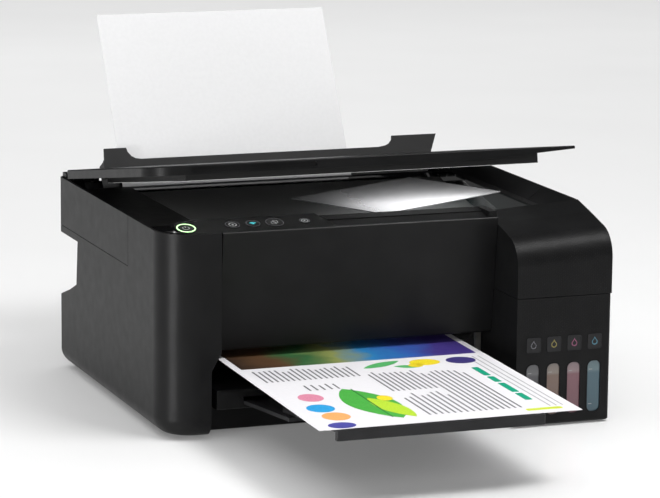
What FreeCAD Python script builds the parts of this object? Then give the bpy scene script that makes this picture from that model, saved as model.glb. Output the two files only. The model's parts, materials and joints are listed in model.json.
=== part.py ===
"""Ink-tank inkjet printer with a flatbed scanner, rear paper feed and front output tray.

Millimetres. The origin is the middle of the footprint on the desk. X runs to the right, Y to the
back and Z up, so the front of the printer faces -Y. The scanner lid is modelled shut and then
turned to its rest angle, and the output tray is modelled pulled out.
"""
import FreeCAD
import Part
import math
import os

V = FreeCAD.Vector
X_AXIS = V(1, 0, 0)
Y_AXIS = V(0, 1, 0)
Z_AXIS = V(0, 0, 1)

# Overall sizes
WIDTH = 375.0
REAR = 173.5
TANK_FRONT = -173.5
BODY_FRONT = -131.6
FOOT = 2.4
RIM = 170.6
LID_TOP = 179.0

# Walls and clearances
WALL = 2.5
SHEET_METAL = 1.5
GAP = 0.3
TOUCH = 0.1
SEAM = 0.5
SHAFT_FIT = 0.06

# Case lines
COLUMN_RIGHT = -139.1
OPENING_LEFT = -147.5
OPENING_SILL = 57.0
OPENING_LIFT = 68.9
PANEL_BOTTOM = 71.5
PANEL_LEAN = 10.6
TANK_LEFT = 102.5
TANK_BOTTOM = 1.7
TANK_SEAM = 109.1
TANK_BACK = -101.3
SEAM_Z = 127.8
SEAM_Y = -32.2
CORNER_R = 30.0
SKIRT_R = 14.0
REAR_R = 5.0

PAN_RIB = 5.2

# Sockets and screws in the rear cover: screws as (x, z)
INLET_X = 96.0
USB_X = -96.0
PORT_Z = 40.0
SCREWS = ((-125, 14), (125, 14), (-125, 118), (125, 118))

# Hand-hold in each rear side
NOTCH_FRONT = 117.0
NOTCH_TOP = 121.8
NOTCH_LOW = 83.0
NOTCH_END = 61.5
NOTCH_DEPTH = 20.0

# Lid and scanner
HINGE_Y = 153.0
HINGE_Z = 170.5
LID_FRONT = -101.5
LID_BACK = 151.5
LID_UNDER = 171.2
LID_SKIN = 2.5
LID_REST = 9.6
TANK_DROP = 5.2
RIM_RIGHT = 176.2
BED_Z = 165.0
SCAN_LEFT = -184.4
SCAN_RIGHT = 172.5
SCAN_FRONT = -97.0
SCAN_BACK = 133.0
SCAN_FLOOR = 128.6
SCAN_CORNER = 27.0
GLASS = (-135.0, 165.0, -88.0, 124.0)
PIVOT_R = 3.0
LID_PIN_R = 2.5

# Console
CONSOLE_BACK = -103.0
CONSOLE_TILT = 14.5
CONSOLE_RIGHT = -38.0
CONSOLE_TAPER = 12.0
CONSOLE_SKIN = 2.5
# name, x, y, radius
BUTTONS = (("power_button", -165.0, -117.6, 8.8), ("info_button", -125.0, -116.0, 6.2),
           ("network_button", -107.5, -116.0, 6.0), ("copy_button", -89.0, -116.0, 7.6),
           ("stop_button", -63.0, -116.0, 4.6))
BUTTON_FIT = 0.15
BUTTON_PROUD = 0.3

# Rubber feet: one near each corner and one in the middle
FEET = ((-162, -96), (162, -84), (-162, 148), (162, 148), (0, 0))
FOOT_R = 8.0

# Rear feed: a plane leaning back, measured along the lean from FEED_REF
LEAN = 61.0
FEED_REF = (172.0, 184.0)
PAPER_W = 216.0
PAPER_L = 279.0
PAPER_T = 0.3
REAR_LEFT = -133.5
REAR_FOOT = -142.0
SUPPORT_LEFT = -150.0
SUPPORT_RIGHT = 166.0
SUPPORT_LOW = -130.0
SUPPORT_TOP = -5.0
SUPPORT_N = 4.4
SUPPORT_T = 2.2
# Guard strip in front of the paper, part of the sliding support, with an ear at each end
GUARD_N = -7.7
GUARD_T = 1.2
GUARD_LOW = -11.3
GUARD_TOP = -4.1
GUARD_RIGHT = 160.6
EAR_TOP = 6.9

# Output side
OUT_SLOPE = 5.5
OUT_REF = (-131.0, 32.5)
TRAY_OUT = 228.0
LIP_LEFT = -124.5
LIP_RIGHT = 46.5
SILL_FRONT = -111.0
PRINT_LEFT = -138.0
PRINT_FRONT = -356.0
PRINT_Z = 60.0
PRINT_RISE = 0.0178

# Tank cover and tanks
COVER_AXIS = (-104.5, 165.4)
COVER_R = 24.67
TANKS = ("black", "yellow", "magenta", "cyan")
TANK_FIRST = 117.6
TANK_PITCH = 18.4
TANK_W = 17.2
WINDOW_W = 12.0
WINDOW_LOW = 9.8
WINDOW_HIGH = 53.3
NECK_R = 5.0
CAP_R = 7.5
TUBE_R = 1.6
SPOUT_Z = 16.0
TUBE_Z = 105.0

# Print mechanism
PLATE_X = 176.0
MID_PLATE = 100.0
FEED_AXIS = (-5.0, 58.2)
EJECT_AXIS = (-84.0, 60.5)
FEED_R = 6.0
EJECT_R = 4.0
SHAFT_R = 2.5
PICK_R = 15.0
ROD = (-30.0, 92.0)
ROD_R = 5.0
PARK_X = 140.0
PULLEY_Y = 2.0
PULLEY_Z = 110.0
PULLEY_R = 8.0
DRIVE_X = -158.0
IDLER_X = 162.0
GEAR_X = -168.0
GEAR_W = 5.0
MODULE = 1.0
MESH = 0.15
FEED_TEETH = 48
IDLER_TEETH = 40
EJECT_TEETH = 32
PINION_TEETH = 16

HALF = WIDTH / 2


def box(x0, x1, y0, y1, z0, z1):
    return Part.makeBox(x1 - x0, y1 - y0, z1 - z0, V(x0, y0, z0))


def rod(radius, start, axis, length):
    return Part.makeCylinder(radius, length, V(*start), axis)


def extrude(points, direction):
    """A solid prism from a closed outline of points (x, y, z)."""
    wire = Part.makePolygon([V(*p) for p in points] + [V(*points[0])])
    return Part.Face(wire).extrude(direction)


def side_prism(outline, x0, x1):
    """Outline of (y, z) points carried along X."""
    return extrude([(x0, y, z) for y, z in outline], V(x1 - x0, 0, 0))


def front_prism(outline, y0, y1):
    """Outline of (x, z) points carried along Y."""
    return extrude([(x, y0, z) for x, z in outline], V(0, y1 - y0, 0))


def plan_prism(outline, z0, z1):
    """Outline of (x, y) points carried along Z."""
    return extrude([(x, y, z0) for x, y in outline], V(0, 0, z1 - z0))


def fuse(first, *others):
    return first.fuse(list(others)).removeSplitter() if others else first


def cut(shape, *tools):
    return shape.cut(list(tools))


def round_edges(shape, radius, wanted):
    """Fillet each edge whose middle point and direction pass the test."""
    picked = []
    for edge in shape.Edges:
        low, high = edge.ParameterRange
        middle = edge.valueAt((low + high) / 2)
        if wanted(middle, edge.tangentAt((low + high) / 2)):
            picked.append(edge)
    return shape.makeFillet(radius, picked)


def turned(shape, pivot, axis, degrees):
    copy = shape.copy()
    copy.rotate(V(*pivot), axis, degrees)
    return copy


def mirrored(shape):
    return shape.mirror(V(0, 0, 0), X_AXIS)


def in_plane(origin, degrees, shape):
    """Carry a shape drawn flat (x, along, off) to a plane through origin (y, z) that leans."""
    copy = shape.copy()
    copy.rotate(V(0, 0, 0), X_AXIS, degrees)
    copy.translate(V(0, origin[0], origin[1]))
    return copy


def feed(x0, x1, s0, s1, n0, n1):
    """A box on the rear feed plane: s runs up the lean and n runs behind the paper."""
    return in_plane(FEED_REF, LEAN, box(x0, x1, s0, s1, -n1, -n0))


def out(x0, x1, t0, t1, n0, n1):
    """A box on the output tray's slope: t runs out of the printer and n runs up."""
    return in_plane(OUT_REF, -OUT_SLOPE, box(x0, x1, -t1, -t0, n0, n1))


def feed_point(s, n=0.0):
    lean = math.radians(LEAN)
    return (FEED_REF[0] + s * math.cos(lean) + n * math.sin(lean),
            FEED_REF[1] + s * math.sin(lean) - n * math.cos(lean))


def sleeve(outer, inner, start, axis, length):
    return cut(rod(outer, start, axis, length), rod(inner, start, axis, length))


# ---- case -----------------------------------------------------------------

def corner_block(inset, top):
    """Left side of the case as a block with its rounded corner and skirt, shrunk by inset."""
    block = box(-HALF + inset, COLUMN_RIGHT + inset * 4, BODY_FRONT + inset, REAR - inset,
                FOOT + inset, top)
    block = round_edges(block, CORNER_R - inset, lambda p, d: abs(d.z) > 0.9
                        and p.x < -HALF + inset + 1 and p.y < BODY_FRONT + inset + 1)
    block = round_edges(block, REAR_R - inset, lambda p, d: abs(d.z) > 0.9
                        and p.x < -HALF + inset + 1 and p.y > REAR - inset - 1)
    return round_edges(block, SKIRT_R - inset, lambda p, d: p.z < FOOT + inset + 0.5
                       and (p.x < -HALF + CORNER_R or p.y < BODY_FRONT + inset + 1)
                       and p.y < REAR - inset - 1)


def notch(grow):
    """Hand-hold cut into a rear corner, grown by a wall thickness on its inner sides."""
    front = NOTCH_FRONT - grow
    outline = [(front, NOTCH_TOP + grow), (REAR + 9, NOTCH_TOP + grow), (REAR + 9, NOTCH_END - grow - 3),
               (REAR - 6, NOTCH_END + 5 - grow), (front + 24, NOTCH_LOW - 8 - grow),
               (front + 4, NOTCH_LOW - grow)]
    return side_prism(outline, -HALF - 9, -HALF + NOTCH_DEPTH + grow)


def opening_outline(grow):
    """Front view of the output opening, grown to the left by a wall thickness."""
    return [(OPENING_LEFT - grow, -9), (OPENING_LEFT - grow, OPENING_SILL),
            (COLUMN_RIGHT - 1.7 - grow, OPENING_LIFT), (COLUMN_RIGHT - grow, PANEL_BOTTOM),
            (0, PANEL_BOTTOM), (0, -9)]


def side_shell():
    """Outer skin of one side below the seams, with the hand-hold."""
    outer = corner_block(0, RIM)
    skin = cut(outer, corner_block(WALL, RIM + 30))
    pocket = notch(WALL).common(outer)
    skin = cut(fuse(skin, pocket), notch(0))
    above = box(-HALF - 1, 0, SEAM_Y, REAR + 1, SEAM_Z, RIM + 40)
    return cut(skin, above)


def make_left_housing():
    skin = side_shell()
    jamb = front_prism(opening_outline(WALL), BODY_FRONT, SILL_FRONT + 16)
    jamb = jamb.common(corner_block(0, RIM)).common(box(-HALF, 0, -200, 200, -9, PANEL_BOTTOM))
    return cut(fuse(skin, jamb), front_prism(opening_outline(0), BODY_FRONT - 9, SILL_FRONT + 16))


def rim_wedge(y0, y1, low):
    """Raised right rim: it slopes up from the scan bed to the outer face."""
    base = SCAN_RIGHT + SEAM
    outline = [(base, low), (base, BED_Z), (HALF - 0.4, RIM_RIGHT), (HALF, RIM_RIGHT - 0.4),
               (HALF, low), (HALF - WALL, low), (HALF - WALL, RIM_RIGHT - 8), (base + WALL, BED_Z - 2),
               (base + WALL, low)]
    return front_prism(outline, y0, y1)


def cover_relief():
    """Round pocket behind the tank cover, where its rear edge swings down."""
    reach = math.hypot(TANK_BACK - 1 - COVER_AXIS[0], RIM_RIGHT - COVER_AXIS[1]) + 0.35
    return rod(reach, (TANK_LEFT - 1, COVER_AXIS[0], COVER_AXIS[1]), X_AXIS, HALF - TANK_LEFT + 9)


def make_right_housing():
    skin = mirrored(side_shell())
    skin = cut(skin, box(0, HALF + 9, BODY_FRONT - 9, TANK_BACK, -9, RIM + 9))
    bulkhead = box(TANK_LEFT + WALL, HALF - WALL, TANK_BACK + 6, TANK_BACK + 6 + WALL, FOOT + 3 * WALL,
                   SEAM_Z - SEAM)
    bulkhead = cut(bulkhead, *[rod(TUBE_R + 0.6, (tank_x(i), TANK_BACK, TUBE_Z), Y_AXIS, 20) for i in range(4)])
    rim = rim_wedge(TANK_BACK, SEAM_Y, SEAM_Z + SEAM)
    side = box(HALF - WALL, HALF, TANK_BACK, SEAM_Y, SEAM_Z - 1, SEAM_Z + 9)
    return cut(fuse(skin, bulkhead, side, rim), cover_relief())


def make_upper_housing():
    """Ring above the side seam: both side panels, the rear strip and the hinge brackets."""
    low = SEAM_Z + SEAM
    front = SEAM_Y + SEAM
    ring = box(-HALF, HALF, front, REAR, low, RIM)
    ring = round_edges(ring, REAR_R, lambda p, d: abs(d.z) > 0.9 and p.y > REAR - 1)
    hollow = box(-HALF + WALL, HALF - WALL, front - 9, REAR - WALL, low - 9, RIM + 9)
    ring = cut(ring, hollow, box(-160, 172, REAR - 9, REAR + 9, RIM - 6, RIM + 9))
    rim = rim_wedge(front, 140, low)
    rear_rim = box(HALF - WALL, HALF, 139, 158, RIM - 1, RIM_RIGHT)
    pieces = [rim, rear_rim]
    for side in (-1, 1):
        inner = side * 163
        outer = side * (HALF - WALL)
        pieces.append(box(min(inner, outer), max(inner, outer), 160, REAR - WALL, 158, 174.5))
        stem = box(175, HALF - WALL, 148.7, 161, 158, HINGE_Z)
        eye = rod(4.3, (175, HINGE_Y, HINGE_Z), X_AXIS, 6)
        bracket = fuse(stem, eye)
        pieces.append(bracket if side > 0 else mirrored(bracket))
    bores = [rod(PIVOT_R + SHAFT_FIT, (-184, HINGE_Y, HINGE_Z), X_AXIS, 14),
             rod(PIVOT_R + SHAFT_FIT, (170, HINGE_Y, HINGE_Z), X_AXIS, 14)]
    return cut(fuse(ring, *pieces), *bores)


def make_rear_cover():
    """Rear wall between the side housings, with the two sockets and four screw wells."""
    half = -COLUMN_RIGHT - SEAM
    wall = box(-half, half, REAR - WALL, REAR, FOOT + WALL + 3, SEAM_Z - SEAM)
    holes = [box(INLET_X - 12.4, INLET_X + 12.4, REAR - 9, REAR + 9, PORT_Z - 8.9, PORT_Z + 8.9),
             box(USB_X - 6.7, USB_X + 6.7, REAR - 9, REAR + 9, PORT_Z - 6.7, PORT_Z + 6.7)]
    for x, z in SCREWS:
        holes.append(rod(1.8, (x, REAR - 9, z), Y_AXIS, 18))
        holes.append(rod(3.6, (x, REAR - 1.3, z), Y_AXIS, 9))
    return cut(wall, *holes)


def make_case_screws():
    screws = []
    for x, z in SCREWS:
        shank = rod(1.5, (x, REAR - 11, z), Y_AXIS, 10)
        head = rod(3.2, (x, REAR - 1.25, z), Y_AXIS, 1.1)
        slot = box(x - 0.4, x + 0.4, REAR - 0.6, REAR, z - 2.2, z + 2.2)
        screws.append(cut(fuse(shank, head), slot))
    return Part.Compound(screws)


def make_power_inlet():
    """Figure-eight socket: a box with a two-lobed recess and two pins."""
    body = box(INLET_X - 12, INLET_X + 12, REAR - 22, REAR - 0.3, PORT_Z - 8.5, PORT_Z + 8.5)
    well = fuse(rod(4.2, (INLET_X - 4.3, REAR - 14, PORT_Z), Y_AXIS, 20),
                rod(4.2, (INLET_X + 4.3, REAR - 14, PORT_Z), Y_AXIS, 20),
                box(INLET_X - 4.3, INLET_X + 4.3, REAR - 14, REAR + 6, PORT_Z - 3.2, PORT_Z + 3.2))
    pins = [rod(1.2, (INLET_X + dx, REAR - 15, PORT_Z), Y_AXIS, 10) for dx in (-4.3, 4.3)]
    return fuse(cut(body, well), *pins)


def make_usb_port():
    body = box(USB_X - 6.3, USB_X + 6.3, REAR - 18, REAR - 0.3, PORT_Z - 6.3, PORT_Z + 6.3)
    well = box(USB_X - 4.6, USB_X + 4.6, REAR - 14, REAR + 6, PORT_Z - 4.2, PORT_Z + 4.2)
    tongue = box(USB_X - 2.7, USB_X + 2.7, REAR - 15, REAR - 5, PORT_Z - 1.4, PORT_Z + 1.4)
    return fuse(cut(body, well), tongue)


def make_base_pan():
    low = FOOT + WALL + TOUCH
    pan = box(-HALF + 16, HALF - 16, SILL_FRONT + 20, REAR - SKIRT_R - 2, low, low + WALL)
    tail = box(COLUMN_RIGHT + SEAM, -COLUMN_RIGHT - SEAM, 100, REAR - WALL - TOUCH, low, low + WALL)
    ribs = [box(-98, 92, y, y + 2, low, low + PAN_RIB) for y in (-82.0, 70.0)]
    ribs += [box(x, x + 2, -81, 20, low, low + PAN_RIB) for x in (-98.0, 90.0)]
    return fuse(pan, tail, *ribs)


def make_rubber_feet():
    feet = []
    for x, y in FEET:
        foot = rod(FOOT_R, (x, y, 0), Z_AXIS, FOOT - 0.05)
        feet.append(round_edges(foot, 1.0, lambda p, d: p.z < 0.1))
    return Part.Compound(feet)


def make_front_panel():
    """Big leaning front panel with a top flange, an inner lip below and a rounded lower corner."""
    left = COLUMN_RIGHT + 1.2
    right = TANK_LEFT - SEAM
    low = BODY_FRONT + PANEL_LEAN
    outline = [(BODY_FRONT, RIM - 0.6), (BODY_FRONT + 0.6, RIM), (BODY_FRONT + WALL, RIM),
               (low + WALL, PANEL_BOTTOM + WALL), (low + 16, PANEL_BOTTOM + WALL),
               (low + 16, PANEL_BOTTOM), (low + 1.2, PANEL_BOTTOM), (low, PANEL_BOTTOM + 1.5)]
    panel = side_prism(outline, left, right)
    corner = cut(box(left - 1, left + 5, -140, -90, PANEL_BOTTOM - 1, PANEL_BOTTOM + 5),
                 rod(5, (left + 5, -141, PANEL_BOTTOM + 5), Y_AXIS, 60))
    return cut(panel, corner)


# ---- console and ledge ----------------------------------------------------

def console_top(x0, x1, drop):
    """Everything under the console's two facets: one tilts back, one falls to the left."""
    rise = math.tan(math.radians(CONSOLE_TILT))
    front = BODY_FRONT + WALL + GAP
    left = -HALF + WALL + GAP
    tilt = side_prism([(front, 120), (front, RIM - drop), (front + 80, RIM + 80 * rise - drop),
                       (front + 80, 120)], x0, x1)
    fall = front_prism([(left, 120), (left, RIM - drop), (left + 120, RIM + 120 * rise - drop),
                        (left + 160, RIM + 120 * rise - drop), (left + 160, 120)], -140, -40)
    return tilt.common(fall)


def console_plan():
    """Plan of the console between the case rim and the lid's rounded corner."""
    front = BODY_FRONT + WALL + GAP
    left = -HALF + WALL + GAP
    plan = plan_prism([(left, front), (CONSOLE_RIGHT, front), (CONSOLE_RIGHT - CONSOLE_TAPER, CONSOLE_BACK),
                       (left, CONSOLE_BACK + 60)], 150, 200)
    corner = CORNER_R - WALL - GAP
    plan = round_edges(plan, corner, lambda p, d: abs(d.z) > 0.9 and p.x < left + 1 and p.y < front + 1)
    lid = plan_prism([(-HALF, CONSOLE_BACK), (HALF, CONSOLE_BACK), (HALF, 60), (-HALF, 60)], 100, 220)
    lid = round_edges(lid, CORNER_R, lambda p, d: abs(d.z) > 0.9 and p.x < -HALF + 1 and p.y < -99)
    return cut(plan, lid)


def console_normal():
    tilt = math.radians(CONSOLE_TILT)
    return V(0, -math.sin(tilt), math.cos(tilt))


def console_height(y):
    return RIM + (y - BODY_FRONT - WALL - GAP) * math.tan(math.radians(CONSOLE_TILT))


def button_cylinder(x, y, radius, below, above):
    normal = console_normal()
    point = V(x, y, console_height(y))
    return Part.makeCylinder(radius, below + above, point - normal * below, normal)


def make_control_console():
    plan = console_plan()
    solid = plan.common(console_top(-HALF, 0, 0))
    skin = cut(solid, plan.common(console_top(-HALF, 0, CONSOLE_SKIN)))
    reach = CONSOLE_BACK - 1.5
    inside = plan_prism([(-HALF - 1.5, reach), (HALF, reach), (HALF, 60), (-HALF - 1.5, 60)], 100, 220)
    inside = round_edges(inside, CORNER_R + 1.5, lambda p, d: abs(d.z) > 0.9 and p.x < -HALF and p.y < -99)
    skirt = solid.common(inside).common(box(-HALF, 0, -140, 0, 166.5, 190))
    holes = [button_cylinder(x, y, r, 9, 9) for _, x, y, r in BUTTONS]
    return cut(fuse(skin, skirt), *holes)


def make_button(x, y, radius):
    """Cap with a thin retaining flange under the console's skin."""
    cap = button_cylinder(x, y, radius - BUTTON_FIT, CONSOLE_SKIN + 1.5, BUTTON_PROUD)
    flange = button_cylinder(x, y, radius + 0.8, CONSOLE_SKIN + 1.5, -CONSOLE_SKIN - 0.5)
    return fuse(cap, flange.common(console_top(-HALF, 0, CONSOLE_SKIN + 0.5)))


def make_front_ledge():
    """Two-step finger ledge between the front panel and the lid, with a raised right end."""
    front = BODY_FRONT + WALL + GAP
    outline = [(front + 1, 166.3), (front, 169.3), (-115.6, 172.9), (-115.6, 171.6), (-113.6, 172.0),
               (-113.6, 173.5), (CONSOLE_BACK, 175.2), (CONSOLE_BACK, 169), (SCAN_FRONT - 4.5, 169),
               (SCAN_FRONT - 4.5, 166.3)]
    ledge = side_prism(outline, CONSOLE_RIGHT - CONSOLE_TAPER, TANK_LEFT - SEAM)
    end = box(95, TANK_LEFT - SEAM, front + 0.2, CONSOLE_BACK, 169, 175.4)
    clear = plan_prism([(CONSOLE_RIGHT + GAP, front), (CONSOLE_RIGHT + GAP - CONSOLE_TAPER, CONSOLE_BACK),
                        (-90, CONSOLE_BACK), (-90, front - 1), (CONSOLE_RIGHT + GAP, front - 1)], 160, 190)
    return cut(fuse(ledge, end), clear)


# ---- ink tank unit --------------------------------------------------------

def roof_z(x):
    """How far the slanted roof of the tank unit has dropped at x."""
    return TANK_DROP * (HALF - x) / (HALF - TANK_LEFT)


def cover_face(x, inset):
    """Closed side profile of the tank cover at x, shrunk by inset."""
    drop = roof_z(x) + inset
    slope = math.radians(14.5)
    back = TANK_BACK - 1 + inset * 4
    low = TANK_SEAM + 0.25 - inset * 4
    arc_y = -155.0
    arc_z = 163.2 - drop
    radius = COVER_R - inset
    centre = (arc_y + radius * math.sin(slope) - inset * 0.1, arc_z - radius * math.cos(slope))
    front = centre[0] - radius

    def arc_point(degrees):
        a = math.radians(degrees)
        return V(x, centre[0] + radius * math.cos(a), centre[1] + radius * math.sin(a))

    start = arc_point(104.5)
    end = V(x, front, centre[1])
    points = [V(x, back, low), V(x, back, RIM_RIGHT - drop + inset * 0.6), V(x, -127.6, 170.3 - drop), start]
    edges = [Part.makeLine(points[i], points[i + 1]) for i in range(3)]
    edges.append(Part.Arc(start, arc_point(142.25), end).toShape())
    edges.append(Part.makeLine(end, V(x, front, low)))
    edges.append(Part.makeLine(V(x, front, low), points[0]))
    return Part.Wire(edges)


def cover_solid(x0, x1, inset):
    return Part.makeLoft([cover_face(x0, inset), cover_face(x1, inset)], True, True)


def make_tank_cover():
    outer = cover_solid(TANK_LEFT, HALF, 0)
    inner = cover_solid(TANK_LEFT + WALL, HALF - WALL, WALL)
    shell = cut(outer, inner)
    pins = [rod(1.5, (TANK_LEFT + WALL - 1, COVER_AXIS[0], COVER_AXIS[1]), X_AXIS, 8),
            rod(1.5, (HALF - WALL - 7, COVER_AXIS[0], COVER_AXIS[1]), X_AXIS, 8)]
    return fuse(shell, *pins)


def tank_x(index):
    return TANK_FIRST + index * TANK_PITCH


def make_tank_housing():
    """Box below the cover seam: windows in front, filler deck on top, pivot ears at the back."""
    back = TANK_BACK - 0.4
    outer = box(TANK_LEFT, HALF, TANK_FRONT, back, TANK_BOTTOM, TANK_SEAM - 0.25)
    outer = round_edges(outer, 3.0, lambda p, d: abs(d.z) > 0.9 and p.x > HALF - 1 and p.y < TANK_FRONT + 1)
    outer = round_edges(outer, 2.0, lambda p, d: p.z < TANK_BOTTOM + 0.5 and p.y < back - 1)
    inner = box(TANK_LEFT + WALL, HALF - WALL, TANK_FRONT + WALL, back - WALL, TANK_BOTTOM + WALL,
                TANK_SEAM + 9)
    deck = box(TANK_LEFT + WALL, HALF - WALL, TANK_FRONT + WALL, back - WALL, 103.8, 106.2)
    ears = []
    for x in (109.2, HALF - 8.9):
        ears.append(box(x, x + 2.2, COVER_AXIS[0] - 2.2, back, TANK_SEAM - 4, COVER_AXIS[1]))
        ears.append(rod(2.2, (x, *COVER_AXIS), X_AXIS, 2.2))
    holes = [rod(1.5 + SHAFT_FIT, (TANK_LEFT + WALL, COVER_AXIS[0], COVER_AXIS[1]), X_AXIS,
                 HALF - TANK_LEFT - 2 * WALL)]
    for index in range(len(TANKS)):
        x = tank_x(index)
        slot = box(x - WINDOW_W / 2, x + WINDOW_W / 2, TANK_FRONT - 1, TANK_FRONT + WALL + 0.5,
                   WINDOW_LOW, WINDOW_HIGH)
        holes.append(round_edges(slot, 5.0, lambda p, d: abs(d.y) > 0.9))
        holes.append(rod(NECK_R + 0.6, (x, -145, 100), Z_AXIS, 9))
        holes.append(rod(TUBE_R + 0.6, (x, back - WALL - 1, SPOUT_Z), Y_AXIS, 9))
    return cut(fuse(cut(outer, inner), deck, *ears), *holes)


def make_tank(index):
    """Clear ink bottle: hollow body, window boss in front and filler neck on top."""
    x = tank_x(index)
    half = TANK_W / 2
    body = box(x - half, x + half, TANK_FRONT + WALL + 0.8, -112, TANK_BOTTOM + WALL + 0.3, 97)
    boss = box(x - WINDOW_W / 2 + GAP, x + WINDOW_W / 2 - GAP, TANK_FRONT + 0.9, TANK_FRONT + WALL + 2,
               WINDOW_LOW + GAP, WINDOW_HIGH - GAP)
    boss = round_edges(boss, 4.7, lambda p, d: abs(d.y) > 0.9)
    neck = rod(NECK_R, (x, -145, 90), Z_AXIS, 22)
    hollow = box(x - half + 1.6, x + half - 1.6, TANK_FRONT + WALL + 2.4, -113.6, TANK_BOTTOM + WALL + 2, 95.4)
    bore = rod(NECK_R - 1.5, (x, -145, 90), Z_AXIS, 30)
    spout = rod(TUBE_R, (x, -112.5, SPOUT_Z), Y_AXIS, 6.5)
    return cut(fuse(body, boss, neck, spout), hollow, bore)


def make_cap(index):
    x = tank_x(index)
    cap = rod(CAP_R, (x, -145, 107.0), Z_AXIS, 11)
    cap = round_edges(cap, 1.5, lambda p, d: p.z > 117)
    return cut(cap, rod(NECK_R + 0.08, (x, -145, 107.0), Z_AXIS, 5.4))


def make_ink_tubes():
    """Four tubes from the tank outlets up the bulkhead to the carriage rail."""
    start, rise, end = -105.9, TANK_BACK + 3.4, EJECT_AXIS[0] - 1.5 - GAP
    tubes = []
    for index in range(len(TANKS)):
        x = tank_x(index)
        bends = [Part.makeSphere(TUBE_R, V(x, rise, z)) for z in (SPOUT_Z, TUBE_Z)]
        tubes.append(fuse(rod(TUBE_R, (x, start, SPOUT_Z), Y_AXIS, rise - start),
                          rod(TUBE_R, (x, rise, SPOUT_Z), Z_AXIS, TUBE_Z - SPOUT_Z),
                          rod(TUBE_R, (x, rise, TUBE_Z), Y_AXIS, end - rise), *bends))
    return Part.Compound(tubes)


# ---- scanner --------------------------------------------------------------

def round_scan_corner(plate):
    """Front left corner of the scanner, rounded to swing up clear of the console."""
    return round_edges(plate, SCAN_CORNER, lambda p, d: abs(d.z) > 0.9 and p.x < SCAN_LEFT + 1
                       and p.y < SCAN_FRONT + 1)


def make_scanner_base():
    """Open tray under the glass, with two hinge arms at the back."""
    tray = round_scan_corner(box(SCAN_LEFT, SCAN_RIGHT, SCAN_FRONT, SCAN_BACK, SCAN_FLOOR, 162.2))
    inner = round_edges(box(SCAN_LEFT + WALL, SCAN_RIGHT - WALL, SCAN_FRONT + WALL, SCAN_BACK - WALL,
                            SCAN_FLOOR + 2, 170), SCAN_CORNER - WALL,
                        lambda p, d: abs(d.z) > 0.9 and p.x < SCAN_LEFT + 3 and p.y < SCAN_FRONT + 3)
    tray = cut(tray, inner)
    foot = side_prism([(SCAN_FRONT - 1, SCAN_FLOOR - 1), (SCAN_FRONT + 4, SCAN_FLOOR - 1),
                       (SCAN_FRONT - 1, SCAN_FLOOR + 26)], SCAN_LEFT - 1, SCAN_RIGHT + 1)
    lining = side_prism([(SCAN_FRONT, SCAN_FLOOR + 30), (SCAN_FRONT + 4, SCAN_FLOOR),
                         (SCAN_FRONT + 7, SCAN_FLOOR), (SCAN_FRONT + 3, SCAN_FLOOR + 30)],
                        SCAN_LEFT + SCAN_CORNER, SCAN_RIGHT)
    rail = box(-170, 158, 14, 26, SCAN_FLOOR + 1, 141)
    pieces = [lining, rail]
    for side in (-1, 1):
        arm = fuse(side_prism([(SCAN_BACK - 1, 160), (SCAN_BACK - 1, 150), (HINGE_Y, HINGE_Z - 4.8),
                               (HINGE_Y, HINGE_Z), (SCAN_BACK + 8, 164)], 166, 172),
                   rod(4.6, (166, HINGE_Y, HINGE_Z), X_AXIS, 6),
                   rod(PIVOT_R, (171, HINGE_Y, HINGE_Z), X_AXIS, 9))
        arm = cut(arm, rod(LID_PIN_R + SHAFT_FIT, (165, HINGE_Y, HINGE_Z), X_AXIS, 5.5))
        pieces.append(arm if side > 0 else mirrored(arm))
    return cut(fuse(tray, *pieces), foot)


def make_scan_bezel():
    x0, x1, y0, y1 = GLASS
    plate = round_scan_corner(box(SCAN_LEFT, SCAN_RIGHT, SCAN_FRONT, SCAN_BACK, 162.3, BED_Z))
    return cut(plate, box(x0, x1, y0, y1, 160, 170))


def make_scan_glass():
    x0, x1, y0, y1 = GLASS
    return box(x0 + TOUCH, x1 - TOUCH, y0 + TOUCH, y1 - TOUCH, 162.3, BED_Z - 0.05)


def make_scan_sensor():
    """Contact image sensor bar on its carrier, parked at the left."""
    bar = box(-168, -152, GLASS[2] - 2, GLASS[3] + 2, 150, 161.6)
    carrier = box(-166, -154, 10, 30, 142.3, 151)
    skirts = [box(-166, -154, y, y + 3, 134, 151) for y in (10.4, 26.6)]
    return fuse(bar, carrier, *skirts)


def lid_outline(x0, x1, y0, y1, radius, z0, z1):
    plate = box(x0, x1, y0, y1, z0, z1)
    plate = round_edges(plate, radius, lambda p, d: abs(d.z) > 0.9 and p.x < x0 + 1 and p.y < y0 + 1)
    return round_edges(plate, 3.0, lambda p, d: abs(d.z) > 0.9 and p.x > x1 - 1 and p.y < y0 + 1)


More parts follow.
